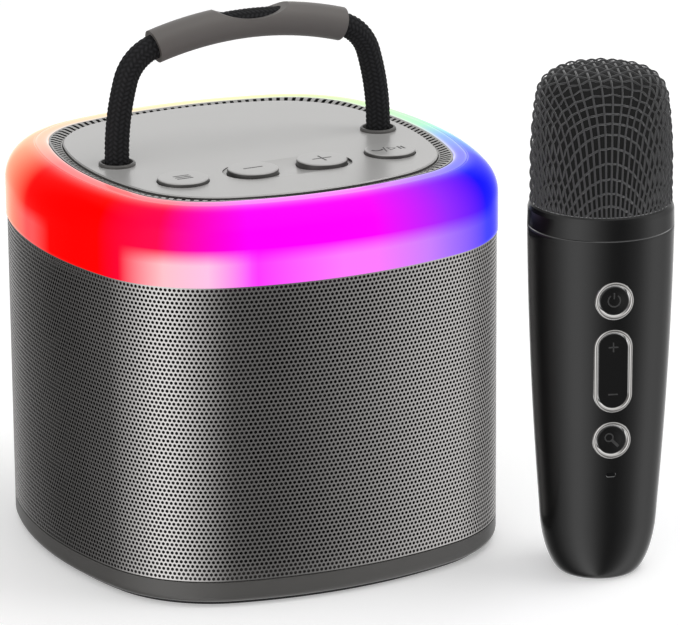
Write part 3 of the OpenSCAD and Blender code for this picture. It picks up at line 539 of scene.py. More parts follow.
LIP_POINTS = (  # distance out, how far sunk below the plain curve, paleness (painted highlight)
    (-7.0, 0, 0.20), (-7.2, 0.02, 0.30), (-7.3, 0.2, 0.10), (-7.5, 0.2, 0.10),
    (-7.6, 0.02, 0.30), (-8.2, 0, 0.22), (-9.0, 0, 0.22), (-9.7, 0, 0.25),
    (-10.2, 0, 0.35), (-10.5, 0.03, 0.6), (-10.64, 0.14, 0.7), (-10.7, 0.35, 0.4))


def ring_profile():
    """(distance out, height, paleness) from the seam up, over and back under; the paleness is a
    painted highlight.
    """
    outer = [(RING_OUT - 0.25, RING_SEAM + 0.02, 0), (RING_OUT, RING_SEAM + 0.25, 0)]
    outer += [(RING_OUT, z, 0) for z in np.linspace(RING_SEAM + 1, RING_LIP - SHOULDER_R, 10)]
    for a in np.linspace(4, 79, 20):
        out = RING_OUT - SHOULDER_R + SHOULDER_R * math.cos(math.radians(a))
        # The shoulder pales towards the lip: painted highlight.
        pale = 0.0 if a < 60 else 0.10 * ((a - 60) / 19) ** 2
        outer.append((out, RING_LIP - SHOULDER_R + SHOULDER_R * math.sin(math.radians(a)), pale))
    for out, sink, pale in LIP_POINTS:
        outer.append((out, shoulder_height(out) - sink, pale))
    inner = [(-LIP_IN, RING_LIP - RING_WALL, 0.9)]
    for a in np.linspace(88, 2, 10):
        radius = SHOULDER_R - RING_WALL
        inner.append((RING_OUT - SHOULDER_R + radius * math.cos(math.radians(a)),
                      RING_LIP - SHOULDER_R + radius * math.sin(math.radians(a)), 0.5))
    inner.append((RING_OUT - RING_WALL, RING_SEAM + 0.02, 0.5))
    return outer + inner


# Painted reflections of the soft boxes, as pale patches: the direction each one faces, half its
# width, and how pale it is.
PAINTED_REFLECTIONS = ((52, 12, 0.4), (112, 12, 0.4), (172, 12, 0.10),
           (230, 14, 0.55), (279, 34, 0.20), (352, 12, 0.4))
REFLECTION_TOP, REFLECTION_FADE = 90.5, 3.5


def make_light_ring():
    profile = ring_profile()
    places = BODY.walk(40, 40)
    points, faces = carry_round(BODY, profile, places)
    ring = add_piece("light_ring_glow", points, faces, "speaker", GLOW,
                     replaces=["light_ring"], sharp=math.radians(60))
    # Painted highlight towards the lip, then painted reflections in patches low on the wall.
    lip = np.repeat([p[2] for p in profile], len(places))
    turn = np.degrees(np.arctan2(points[:, 1], points[:, 0]))
    painted_reflection = np.zeros(len(points))
    for facing, half, paleness in PAINTED_REFLECTIONS:
        away = np.abs((turn - facing + 180) % 360 - 180) / half
        painted_reflection = np.maximum(painted_reflection, paleness * np.clip((1.15 - away) / 0.8, 0, 1))
    painted_reflection *= np.clip((REFLECTION_TOP - points[:, 2]) / REFLECTION_FADE, 0, 1)
    pale = ring.data.attributes.new("lip", "FLOAT", "POINT")
    pale.data.foreach_set("value", np.maximum(lip, painted_reflection).astype(np.float32))
    ring.visible_glossy = False
    return ring


make_light_ring()

# %% [markdown]
# ## The perforated sleeve
# The sleeve is a steel sheet with more than twenty thousand small holes in a staggered
# pattern. A picture of holes would look flat up close, so each hole is real: the sheet is
# laid out as a honeycomb of cells, each cell is a ring of faces round its hole, and the
# hole has a short wall behind it. Four quarters keep each piece light.

# %% Sleeve cells
HOLES_PER_QUARTER, HOLE_ROWS = 84, 70
SLEEVE_LOW, SLEEVE_HIGH = 6.8, 81.3
HOLE_R, SHEET_T = 0.45, 0.7
ROW_STEP = (SLEEVE_HIGH - SLEEVE_LOW) / (HOLE_ROWS + 1 / 3)
HALF_STEP = BODY.quarter / HOLES_PER_QUARTER / 2
PORT_Z, PORT_HALF, PORT_R, PORT_BORDER = 19.0, 27.0, 7.5, 1.1


def off_port(across, height):
    """Distance from the rear panel's long rounded opening, seen from behind."""
    over = np.maximum(np.abs(across) - (PORT_HALF - PORT_R), 0)
    return np.hypot(over, height - PORT_Z) - PORT_R


def sleeve_point(half_steps, height, inset):
    points, outward = BODY.at(np.asarray(half_steps) * HALF_STEP % (4 * BODY.quarter))
    flat = points - outward * inset
    return np.concatenate([flat, np.broadcast_to(height, flat.shape[:-1])[..., None]], -1)


def sleeve_quarter(quarter):
    first = quarter * 2 * HOLES_PER_QUARTER - 1
    steps = np.arange(first, first + 2 * HOLES_PER_QUARTER + 2)
    line = np.arange(HOLE_ROWS + 1)[:, None]
    base = SLEEVE_LOW + ROW_STEP * (line + 2 / 3)
    level = base - np.where((steps[None] - line) % 2 == 0, 2 / 3, 1 / 3) * ROW_STEP
    level[0], level[-1] = SLEEVE_LOW, SLEEVE_HIGH
    corners = sleeve_point(np.broadcast_to(steps, level.shape), level, 0.0)
    corner_id = np.arange(level.size).reshape(level.shape)
    points, faces = [corners.reshape(-1, 3)], []
    count = level.size
    angles = np.radians(90 + 60 * np.arange(6))
    for row in range(HOLE_ROWS):
        middles = np.arange(first + 1, first + 1 + 2 * HOLES_PER_QUARTER)
        middles = middles[(middles - row) % 2 == 0]
        z = SLEEVE_LOW + ROW_STEP * (row + 2 / 3)
        across, _ = BODY.at(middles * HALF_STEP % (4 * BODY.quarter))
        behind = across[:, 1] > 30
        far_off = off_port(across[:, 0], z) > PORT_BORDER - 0.2
        middles = middles[~behind | far_off]
        k = middles - first
        ring = np.stack([corner_id[row + 1, k], corner_id[row + 1, k - 1], corner_id[row, k - 1],
                         corner_id[row, k], corner_id[row, k + 1], corner_id[row + 1, k + 1]], -1)
        along = middles[:, None] + np.cos(angles)[None] * HOLE_R / HALF_STEP
        height = z + HOLE_R * np.sin(angles)[None] + 0 * along
        for inset in (0.0, SHEET_T):
            points.append(sleeve_point(along, height, inset).reshape(-1, 3))
        n = len(middles)
        front = count + np.arange(n * 6).reshape(n, 6)
        back = front + n * 6
        count += n * 12
        turned = np.roll(np.arange(6), -1)
        faces.append(np.stack([ring, ring[:, turned], front[:, turned], front], -1).reshape(-1, 4))
        faces.append(np.stack([front, front[:, turned], back[:, turned], back], -1).reshape(-1, 4))
    return np.concatenate(points), np.concatenate(faces)


# %% Sleeve quarters
def drop_loose(piece):
    """Removes points that no face uses, left where the rear panel interrupts the holes."""
    used = np.zeros(len(piece.data.vertices), bool)
    corner = np.zeros(len(piece.data.loops), np.int32)
    piece.data.loops.foreach_get("vertex_index", corner)
    used[corner] = True
    if not used.all():
        work = bmesh.new()
        work.from_mesh(piece.data)
        work.verts.ensure_lookup_table()
        unused = [work.verts[i] for i in np.flatnonzero(~used)]
        bmesh.ops.delete(work, geom=unused, context="VERTS")
        work.to_mesh(piece.data)
        work.free()


for number, side in enumerate(("right", "back", "left", "front")):
    points, faces = sleeve_quarter(number)
    sleeve = add_piece(f"perforated_sleeve_{side}", points, faces, "speaker",
                       FINISHES["grille_metal"], replaces=["grille_sleeve"], sharp=math.radians(50))
    drop_loose(sleeve)

# %% [markdown]
# ## The border round the rear panel
# Where the punched sheet meets the rear panel's opening its holes stop short, and the
# edge is turned into a plain smooth border. It is a band between two long rounded
# outlines, laid on the sheet's curve.

# %% Rear border
def pill_outline(half, radius, steps=24):
    """Points of a long rounded outline round (0, 0), anticlockwise, its flats divided."""
    ends = []
    for side in (1, -1):
        for i in range(steps + 1):
            a = math.radians(-90 * side + 180 * i / steps)
            ends.append((side * (half - radius) + radius * math.cos(a), radius * math.sin(a)))
    straight = []
    count = len(ends)
    for i, (x, y) in enumerate(ends):
        straight.append((x, y))
        x_on, y_on = ends[(i + 1) % count]
        if abs(x_on - x) > 5:
            straight += [(x + (x_on - x) * j / 16, y + (y_on - y) * j / 16) for j in range(1, 16)]
    return np.array(straight)


def body_back(x):
    """Where the body's back face lies behind a sideways place."""
    return math.sqrt(BODY.side_r ** 2 - x ** 2) - BODY.side_r + BODY.half


def make_rear_border():
    rows = []
    for grow, rise in ((0.15, -0.7), (0.15, 0.06), (0.3, 0.12), (PORT_BORDER, 0.12),
                       (PORT_BORDER + 0.15, 0.0)):
        outline = pill_outline(PORT_HALF + grow, PORT_R + grow)
        rows.append([(-x, body_back(x) + rise, PORT_Z + z) for x, z in outline])
    faces = grid_faces(len(rows), len(rows[0]), columns_closed=True)
    add_piece("rear_opening_border", np.array(rows), faces[:, ::-1], "speaker",
              FINISHES["grille_metal"])


make_rear_border()

# %% [markdown]
# ## Buttons with a soft edge
# A moulded button has a rounded rim that catches the light and an upright side, darkened
# with painted shade by the deck finish. The profile is turned round the button's axis,
# flange and stem included, so the piece is as whole as the one it stands for.

# %% Deck buttons
BUTTON_R, BUTTON_TOP, BUTTON_RIM = 6.35, 100.9, 0.45
BUTTON_PITCH, BUTTON_ROW = 18.94, -21.6
DECK_UNDER, FLANGE_T, FLANGE_OUT, STEM_R, STEM_LOW = 96.9, 1.0, 0.85, 1.6, 94.7
BUTTONS = ("mode_button", "minus_button", "plus_button", "play_button")


def turn_profile(profile, segments=96):
    """Points and faces of a profile of (radius, height) turned round Z; radius 0 closes it."""
    angles = np.arange(segments) * 2 * math.pi / segments
    points, rows = [], []
    for radius, height in profile:
        if radius < 1e-9:
            rows.append([len(points)])
            points.append((0, 0, height))
        else:
            rows.append(list(range(len(points), len(points) + segments)))
            points += [(radius * math.cos(a), radius * math.sin(a), height) for a in angles]
    faces = []
    for low, high in zip(rows, rows[1:]):
        for i in range(segments):
            j = (i + 1) % segments
            if len(low) == 1:
                faces.append((low[0], high[j], high[i]))
            elif len(high) == 1:
                faces.append((low[i], low[j], high[0]))
            else:
                faces.append((low[i], low[j], high[j], high[i]))
    return points, faces


def button_profile():
    profile = [(0, STEM_LOW), (STEM_R, STEM_LOW), (STEM_R, DECK_UNDER - FLANGE_T),
               (BUTTON_R + FLANGE_OUT, DECK_UNDER - FLANGE_T), (BUTTON_R + FLANGE_OUT, DECK_UNDER),
               (BUTTON_R, DECK_UNDER)]
    for a in range(0, 91, 10):
        turn = math.radians(a)
        profile.append((BUTTON_R - BUTTON_RIM + BUTTON_RIM * math.cos(turn),
                        BUTTON_TOP - 0.06 - BUTTON_RIM + BUTTON_RIM * math.sin(turn)))
    profile += [(r, BUTTON_TOP - 0.06 * (r / 5.8) ** 2) for r in (5.2, 4.2, 3.0, 1.5)]
    return profile + [(0, BUTTON_TOP)]


def button_x(number):
    return (number - 1.5) * BUTTON_PITCH


# The deck finish paints shade on the buttons' upright sides.
for number, node in enumerate(BUTTONS):
    points, faces = turn_profile(button_profile())
    add_piece(f"{node}_cap", points, faces, node, FINISHES["deck_plastic"],
              replaces=[node], place=Matrix.Translation((button_x(number), BUTTON_ROW, 0)),
              sharp=math.radians(40))

# %% [markdown]
# ## Printed marks
# The signs on the buttons are thin strokes of dark ink. Each is a ribbon a few hundredths
# of a millimetre thick that lies on its button and rides with it. They are plain signs
# that any maker uses.

# %% Strokes
INK = finish("dark grey ink", (0.035, 0.034, 0.033), 0.45, grain=5000, grain_mm=0.002)
KEY_INK = finish("pressed mark", (0.045, 0.045, 0.045), 0.42, grain=5000, grain_mm=0.002)
INK_T = 0.025


def ribbon(path, width, level, closed=False):
    """Points and faces of a flat stroke along a path; level gives the height below it."""
    path = np.array(path, float)
    count = len(path)
    if closed:
        ahead, behind = np.roll(path, -1, 0), np.roll(path, 1, 0)
    else:
        ahead = np.concatenate([path[1:], path[-1:]])
        behind = np.concatenate([path[:1], path[:-1]])
    way = ahead - behind
    way /= np.linalg.norm(way, axis=1)[:, None]
    aside = np.stack([-way[:, 1], way[:, 0]], -1) * width / 2
    rows = []
    for edge, lift in ((path + aside, -INK_T), (path + aside, INK_T),
                       (path - aside, INK_T), (path - aside, -INK_T)):
        rows.append([(x, y, level(x, y) + lift) for x, y in edge])
    faces = grid_faces(4, count, rows_closed=True, columns_closed=closed).tolist()
    if not closed:
        faces += [[0, count, 2 * count, 3 * count],
                  [4 * count - 1, 3 * count - 1, 2 * count - 1, count - 1]]
    return [p for row in rows for p in row], faces


def arc_path(x, y, radius, start, stop, steps=28):
    angles = np.radians(np.linspace(start, stop, steps))
    return [(x + radius * math.cos(a), y + radius * math.sin(a)) for a in angles]


def line_path(x0, y0, x1, y1, steps=6):
    return [(x0 + (x1 - x0) * i / steps, y0 + (y1 - y0) * i / steps) for i in range(steps + 1)]


def add_mark(name, strokes, body, material, level, place):
    points, faces = [], []
    for path, width, *closed in strokes:
        more, ring = ribbon(path, width, level, bool(closed))
        faces += [[i + len(points) for i in face] for face in ring]
        points += more
    return add_piece(name, points, faces, body, material, place=place)


# %% Marks on the deck buttons
MODE_STROKES = [(line_path(-2.1, y, 2.1, y), 0.5) for y in (-1.3, 0, 1.3)]
MINUS_STROKES = [(line_path(-2.6, 0, 2.6, 0), 0.5)]
PLUS_STROKES = [(line_path(-2.6, 0, 2.6, 0), 0.5), (line_path(0, -2.4, 0, 2.4), 0.5)]
PLAY_STROKES = [
    ([(-0.2, -1.2), (1.6, 0), (-0.2, 1.2)], 0.42, "closed"), (line_path(2.6, -1.2, 2.6, 1.2), 0.5),
    (line_path(3.6, -1.2, 3.6, 1.2), 0.5), (line_path(-1.9, -2.0, -0.9, 2.0), 0.3),
    (arc_path(-3.2, 1.2, 1.5, 195, 330), 0.6),
]
DECK_MARKS = (MODE_STROKES, MINUS_STROKES, PLUS_STROKES, PLAY_STROKES)


def cap_level(x, y):
    return BUTTON_TOP - 0.06 * (x * x + y * y) / 5.8 ** 2


for number, (node, strokes) in enumerate(zip(BUTTONS, DECK_MARKS)):
    add_mark(f"{node}_mark", strokes, node, INK, cap_level,
             Matrix.Translation((button_x(number), BUTTON_ROW, 0)))

# %% [markdown]
# ## The braided rope
# The handle is a round braid: fourteen bands of yarn wind one way and fourteen the other,
# each passing over two and under two, which gives upright columns of small chevrons. It
# is modelled as one tube along the handle's line, with its surface raised and sunk by
# the weave, because the outline of a real braid is bumpy too.

# %% The rope's line
LEG_X, LEG_LOW, LEG_TOP = 36.3, 99.0, 101.8
LEG_ARC = (-31.7, 101.8, 68.0)
BEND_ARC = (22.54, 117.6195, 11.5)
TOP_ARC = (0.0, 40.34, 92.0)
TURN_A, TURN_B = math.atan2(0.28, 0.96), math.atan2(0.96, 0.28)
ROPE_R = 3.1


def rope_line(step):
    """Points and sideways directions along the whole handle, right leg first."""
    parts = [(None, LEG_TOP - LEG_LOW), (LEG_ARC, TURN_A * LEG_ARC[2]),
             (BEND_ARC, (TURN_B - TURN_A) * BEND_ARC[2]),
             (TOP_ARC, (math.pi / 2 - TURN_B) * TOP_ARC[2])]
    half = sum(length for _, length in parts)
    count = int(half / step) + 1
    points = []
    for along in np.linspace(0, half, count):
        rest = along
        for arc, length in parts:
            if rest <= length + 1e-9 or arc is TOP_ARC:
                break
            rest -= length
        if arc is None:
            points.append((LEG_X, LEG_LOW + rest, 1.0, 0.0))
            continue
        first = {LEG_ARC: 0.0, BEND_ARC: TURN_A, TOP_ARC: TURN_B}[arc]
        turn = first + rest / arc[2]
        points.append((arc[0] + arc[2] * math.cos(turn), arc[1] + arc[2] * math.sin(turn),
                       math.cos(turn), math.sin(turn)))
    right = np.array(points)
    left = right[::-1][1:] * np.array([-1, 1, -1, 1])
    return np.concatenate([right, left]), half


# %% The braid
BANDS, BAND_STEP, BRAID_DEPTH, BRAID_AROUND = 14, 1.2, 0.36, 112
RAISED_YARN_HIGHLIGHT = (0.028, 0.028, 0.031, 1)


def braid_height(around, along):
    """Height from 0 to 1 of the weave at turns around and millimetres along."""
    a = around * BANDS + along / BAND_STEP
    b = around * BANDS - along / BAND_STEP
    i, j = np.floor(a), np.floor(b)
    place = np.mod(i + j, 4)
    rightward = place < 2
    along_float = np.where(rightward, a - (i - place), b - (j - (place - 2))) / 2
    across_float = np.where(rightward, b - j, a - i) - 0.5
    crown = np.sqrt(np.clip(1 - (1.9 * across_float) ** 2, 0, 1))
    arch = np.sin(np.pi * np.clip(along_float, 0, 1)) ** 0.7
    yarns = 0.06 * np.cos(2 * np.pi * 4 * across_float)
    return np.clip(crown * (0.35 + 0.65 * arch) + yarns * arch, 0, 1)


def rope_finish():
    """Black yarn, a little lighter where the weave stands up: a painted highlight on the raised
    yarn.
    """
    material = finish("black braided yarn", (0.005, 0.005, 0.0055), 0.70, grain=6500, grain_mm=0.04,
                      roughness_drift=0.2, shine=0.25)
    tree = material.node_tree
    shader = tree.nodes["Principled BSDF"]
    plain = shader.inputs["Base Color"].links[0].from_socket
    raised = tree.nodes.new("ShaderNodeAttribute")
    raised.attribute_name = "raised"
    # Painted highlight: the raised yarn is mixed towards a lighter colour.
    share = math_node(tree, "MULTIPLY", math_node(tree, "POWER", raised.outputs["Fac"], 3.0), 0.75)
    wire(tree, add_mix(tree, share, plain, RAISED_YARN_HIGHLIGHT), shader.inputs["Base Color"])
    return material


def make_rope():
    line, half = rope_line(0.2)
    count = len(line)
    along = np.linspace(0, 2 * half, count)[:, None]
    around = (np.arange(BRAID_AROUND) / BRAID_AROUND)[None]
    height = braid_height(around, along)
    radius = ROPE_R - BRAID_DEPTH * (1 - height)
    radius[0] = radius[-1] = ROPE_R - BRAID_DEPTH
    angle = 2 * math.pi * around
    outward = radius * np.cos(angle)
    points = np.stack([line[:, 0:1] + outward * line[:, 2:3],
                       radius * np.sin(angle) + 0 * along,
                       line[:, 1:2] + outward * line[:, 3:4]], -1)
    faces = grid_faces(count, BRAID_AROUND, columns_closed=True)[:, ::-1].tolist()
    last = (count - 1) * BRAID_AROUND
    faces += [list(range(BRAID_AROUND)), list(range(last + BRAID_AROUND - 1, last - 1, -1))]
    rope = add_piece("braided_rope", points.reshape(-1, 3), faces, "handle",
                     rope_finish(), replaces=["handle_rope"], sharp=math.radians(70))
    raised = rope.data.attributes.new("raised", "FLOAT", "POINT")
    raised.data.foreach_set("value", height.reshape(-1).astype(np.float32))
    return rope


make_rope()

# %% [markdown]
# ## The microphone's place
# The microphone stands beside the speaker, turned a little. Its pieces are drawn round an
# axis of their own, with the keys looking along -Y, and one matrix puts them in place.

# %% Microphone place
MIC_PLACE = Matrix.Translation((62.0, -68.5, 0)) @ Matrix.Rotation(math.radians(-18.5), 4, "Z")
BARREL_H, MESH_Z, MIC_R, MIC_FOOT_R, BARREL_T = 89.0, 94.8, 18.0, 9.6, 1.8
FOOT_H, FOOT_R, SWELL = 16.0, 0.81 * MIC_R, 0.62


def barrel_r(height):
    """Radius of the barrel: a rounded foot, then a long curve that swells a little."""
    height = np.asarray(height, float)
    up_foot = np.clip(height / FOOT_H, 0, 1) * math.pi / 2
    foot = MIC_FOOT_R + (FOOT_R - MIC_FOOT_R) * np.sin(up_foot) ** 0.62
    share = np.clip((height - FOOT_H) / (BARREL_H - FOOT_H), 0, 1)
    side = FOOT_R + (MIC_R - FOOT_R) * share + SWELL * (1 - (2 * share - 1) ** 2)
    return np.where(height < FOOT_H, foot, side)


def smooth_barrel_r(height):
    """The same radius, with the foot and the side blended into one curve."""
    height = np.asarray(height, float)
    reach = np.linspace(-6, 6, 25)
    weight = np.exp(-(reach / 3) ** 2)
    near = sum(w * barrel_r(np.clip(height + d, 0.5, BARREL_H))
               for d, w in zip(reach, weight)) / weight.sum()
    share = np.clip((height - 5) / 6, 0, 1) * np.clip((34 - height) / 8, 0, 1)
    share = share * share * (3 - 2 * share)
    return barrel_r(height) * (1 - share) + near * share


print("barrel radius half way up:", round(float(barrel_r(BARREL_H / 2)), 2), "mm")

# %% [markdown]
# ## The barrel
# The barrel is a moulded tube with a glossy skin, so its outline has to be one clean
# curve: any kink would show as a bent reflection. The profile is turned finely, the holes
# for the keys, the lamp and the charging socket are cut with solids, and the skin keeps
# the exact directions of the curve, so the cuts don't disturb its shine.

# %% Barrel shell
BEZEL_R, BEZEL_T, ROCKER_L, KEY_HOLE_R = 4.7, 0.8, 21.1, 4.75
POWER_Z, ROCKER_Z, EFFECT_Z, LAMP_Z = 74.1, 56.2, 38.2, 29.1
USB_W, USB_T, FLOOR_T = 9.3, 3.6, 2.5


def barrel_profile():
    shares = np.linspace(0, 0.97, 26)
    low = FOOT_H * np.arcsin(np.clip(shares, 0, 1) ** (1 / 0.62)) * 2 / math.pi
    heights = np.concatenate([low[low < 12], np.arange(12, BARREL_H - 0.3, 0.7), [BARREL_H - 0.12]])
    outer = [(float(smooth_barrel_r(z)), float(z)) for z in heights]
    rim = [(MIC_R - 0.06, BARREL_H - 0.02), (MIC_R - 0.2, BARREL_H)]
    inner = [(MIC_R - BARREL_T, BARREL_H), (MIC_R - BARREL_T, BARREL_H - 4)]
    inner += [(float(barrel_r(z)) - BARREL_T, float(z))
              for z in np.linspace(BARREL_H - 6, FLOOR_T + 1, 24)]
    inner += [(float(barrel_r(FLOOR_T)) - BARREL_T, FLOOR_T), (0, FLOOR_T)]
    return [(0, 0)] + outer + rim + inner


def at_key(height):
    """Places something drawn along +Z so that it looks out of the microphone's front."""
    facing_front = Matrix.Rotation(math.radians(90), 4, "X")
    return MIC_PLACE @ Matrix.Translation((0, 0, height)) @ facing_front


def long_outline(half_length, radius, steps=32):
    """A long rounded outline along Y, anticlockwise."""
    reach = half_length - radius
    return [(radius * math.cos(a), side * reach + radius * math.sin(a))
            for side, first in ((1, 0), (-1, math.pi))
            for a in np.linspace(first, first + math.pi, steps + 1)]


def cutter(outline, low, high, place):
    """A throwaway solid that cuts a hole."""
    count = len(outline)
    points = [(x, y, low) for x, y in outline] + [(x, y, high) for x, y in outline]
    faces = [list(range(count - 1, -1, -1)), list(range(count, 2 * count))]
    faces += [[i, (i + 1) % count, count + (i + 1) % count, count + i] for i in range(count)]
    mesh = bpy.data.meshes.new("cutter")
    mesh.from_pydata([tuple(place @ Vector(p) * MM) for p in points], [], faces)
    solid = bpy.data.objects.new("cutter", mesh)
    scene.collection.objects.link(solid)
    return solid


def cut_holes(piece, cutters):
    for solid in cutters:
        cut = piece.modifiers.new("cut", "BOOLEAN")
        cut.operation, cut.solver, cut.object = "DIFFERENCE", "EXACT", solid
    graph = bpy.context.evaluated_depsgraph_get()
    cut_mesh = bpy.data.meshes.new_from_object(piece.evaluated_get(graph))
    piece.modifiers.clear()
    piece.data = cut_mesh
    for solid in cutters:
        bpy.data.objects.remove(solid)


# %% Barrel skin
def skin_directions(piece):
    """Gives the barrel's outer skin the exact directions of its curve."""
    mesh = piece.data
    place = np.array(MIC_PLACE)
    point = np.zeros(len(mesh.vertices) * 3)
    mesh.vertices.foreach_get("co", point)
    point = (point.reshape(-1, 3) / MM - place[:3, 3]) @ place[:3, :3]
    radius = np.hypot(point[:, 0], point[:, 1]) + 1e-9
    level = np.clip(point[:, 2], 0.6, BARREL_H - 0.3)
    slope = (smooth_barrel_r(level + 0.3) - smooth_barrel_r(level - 0.3)) / 0.6
    exact = np.stack([point[:, 0] / radius, point[:, 1] / radius, -slope], -1)
    exact = exact / np.linalg.norm(exact, axis=1)[:, None] @ place[:3, :3].T
    on_skin = ((np.abs(radius - smooth_barrel_r(level)) < 0.02) & (point[:, 2] > 1)
               & (point[:, 2] < BARREL_H - 0.2))
    corner_point = np.zeros(len(mesh.loops), np.int32)
    mesh.loops.foreach_get("vertex_index", corner_point)
    face_normal = np.zeros(len(mesh.polygons) * 3)
    mesh.polygons.foreach_get("normal", face_normal)
    sizes = np.zeros(len(mesh.polygons), np.int32)
    mesh.polygons.foreach_get("loop_total", sizes)
    face_normal = np.repeat(face_normal.reshape(-1, 3), sizes, axis=0)
    normal = np.array([n.vector for n in mesh.corner_normals])
    wanted = exact[corner_point]
    use = on_skin[corner_point] & ((wanted * face_normal).sum(1) > 0.97)
    normal[use] = wanted[use]
    mesh.normals_split_custom_set(normal.tolist())


def make_barrel():
    points, faces = turn_profile(barrel_profile(), segments=160)
    barrel = add_piece("barrel_shell", points, faces, "microphone",
                       FINISHES["mic_plastic"], replaces=["mic_barrel"], place=MIC_PLACE)
    round_hole = [(KEY_HOLE_R * math.cos(a), KEY_HOLE_R * math.sin(a))
                  for a in np.arange(64) * 2 * math.pi / 64]
    lamp = [(y, x) for x, y in long_outline(1.2, 0.6, 12)][::-1]
    socket = [(y, x - 3.35) for x, y in long_outline(USB_W / 2, USB_T / 2, 16)][::-1]
    cut_holes(barrel, [
        cutter(round_hole, 8, 24, at_key(POWER_Z)), cutter(round_hole, 8, 24, at_key(EFFECT_Z)),
        cutter(long_outline(ROCKER_L / 2 + 0.05, KEY_HOLE_R), 8, 24, at_key(ROCKER_Z)),
        cutter(lamp, 8, 24, at_key(LAMP_Z)), cutter(socket, -1, FLOOR_T + 1, MIC_PLACE),
    ])
    barrel.data.shade_smooth()
    barrel.data.set_sharp_from_angle(angle=SHARP)
    skin_directions(barrel)
    print("barrel faces after the cuts:", len(barrel.data.polygons))


make_barrel()

# %% [markdown]
# ## Polished frames round the keys
# Each key sits in a thin polished frame. Its face is rounded like a wedding ring, so it
# always finds something bright to reflect; a flat face would be white or black as a whole.

# %% Key frames
FACE_PROUD, BEZEL_DEPTH = 0.15, 3.2


def key_face(height):
    return float(barrel_r(height)) + FACE_PROUD


def make_frame(name, node, outline_of, height):
    """A rounded band between an outer and an inner outline; outline_of(distance in)."""
    face = key_face(height)
    half = BEZEL_T / 2
    section = [(0.0, face - BEZEL_DEPTH), (0.0, face - 0.42)]
    section += [(half - half * math.cos(a), face - 0.42 + 0.42 * math.sin(a))
                for a in np.radians([15, 30, 45, 60, 75, 90, 105, 120, 135, 150, 165])]
    section += [(BEZEL_T, face - 0.42), (BEZEL_T, face - BEZEL_DEPTH)]
    rows = [[(x, y, z) for x, y in outline_of(inset)] for inset, z in section]
    faces = grid_faces(len(rows), len(rows[0]), rows_closed=True, columns_closed=True)
    add_piece(name, np.array(rows), faces, "microphone", FINISHES["bezel_chrome"],
              replaces=[node], place=at_key(height), sharp=math.radians(60))


def ring_outline(inset):
    return [((BEZEL_R - inset) * math.cos(a), (BEZEL_R - inset) * math.sin(a))
            for a in np.arange(96) * 2 * math.pi / 96]


def rocker_outline(inset):
    return long_outline(ROCKER_L / 2 - inset, BEZEL_R - inset)


make_frame("power_key_frame", "mic_power_bezel", ring_outline, POWER_Z)
make_frame("rocker_frame", "mic_rocker_bezel", rocker_outline, ROCKER_Z)
make_frame("effect_key_frame", "mic_effect_bezel", ring_outline, EFFECT_Z)

# %% Marks on the keys
KEY_SINK, KEY_DISH, KEY_R = 0.35, 0.35, 3.6


def dished(height):
    top = key_face(height) - KEY_SINK
    return lambda x, y: top - KEY_DISH * (1 - min((x * x + y * y) / (KEY_R - 0.5) ** 2, 1))


def flat(height):
    return lambda x, y: key_face(height) - KEY_SINK


POWER_STROKES = [(arc_path(0, 0, 1.5, 125, 415), 0.34), (line_path(0, 0.4, 0, 2.0), 0.34)]
EFFECT_STROKES = [(arc_path(-0.6, 0.6, 1.0, 0, 346), 0.34, "closed"),
                  (line_path(0.2, -0.2, 1.7, -1.7), 0.7)]
ROCKER_STROKES = [(line_path(-1.2, 6, 1.2, 6), 0.34), (line_path(0, 4.8, 0, 7.2), 0.34),
                  (line_path(-1.2, -6, 1.2, -6), 0.34)]
for name, strokes, body, level, height in (
        ("power_mark", POWER_STROKES, "mic_power_button", dished, POWER_Z),
        ("effect_mark", EFFECT_STROKES, "mic_effect_button", dished, EFFECT_Z),
        ("volume_marks", ROCKER_STROKES, "mic_volume_rocker", flat, ROCKER_Z)):
    add_mark(name, strokes, body, KEY_INK, level(height), at_key(height))

# %% [markdown]
# ## The woven wire head
# The head is square wire cloth, woven flat and then pressed over a dome. Pressing draws
# the cloth in at the sides, so the wires fan out on the crown and crowd together above
# the collar. The same is done here: every wire is a straight line on a flat sheet, the
# sheet is laid over the dome so that distances from the middle become distances down the
# side, and the wires pass over and under each other.

# %% Dome outline
DOME_R, DOME_TOP, STEEP_R, SHOULDER_BEND = 17.1, 128.55, 120.0, 7.5
CROWN_TURN, STEEP_TURN = math.radians(12), math.radians(8.1)
SHOULDER_X = DOME_R - STEEP_R * (1 - math.cos(STEEP_TURN)) - SHOULDER_BEND * math.cos(STEEP_TURN)
CROWN_R = SHOULDER_X / math.sin(CROWN_TURN) + SHOULDER_BEND
SHOULDER_Z = DOME_TOP - CROWN_R + (CROWN_R - SHOULDER_BEND) * math.cos(CROWN_TURN)
STEEP_Z = SHOULDER_Z - (STEEP_R - SHOULDER_BEND) * math.sin(STEEP_TURN)
CROWN_END = CROWN_R * CROWN_TURN
SHOULDER_END = CROWN_END + SHOULDER_BEND * (math.pi / 2 - CROWN_TURN - STEEP_TURN)
STEEP_END = SHOULDER_END + STEEP_R * STEEP_TURN


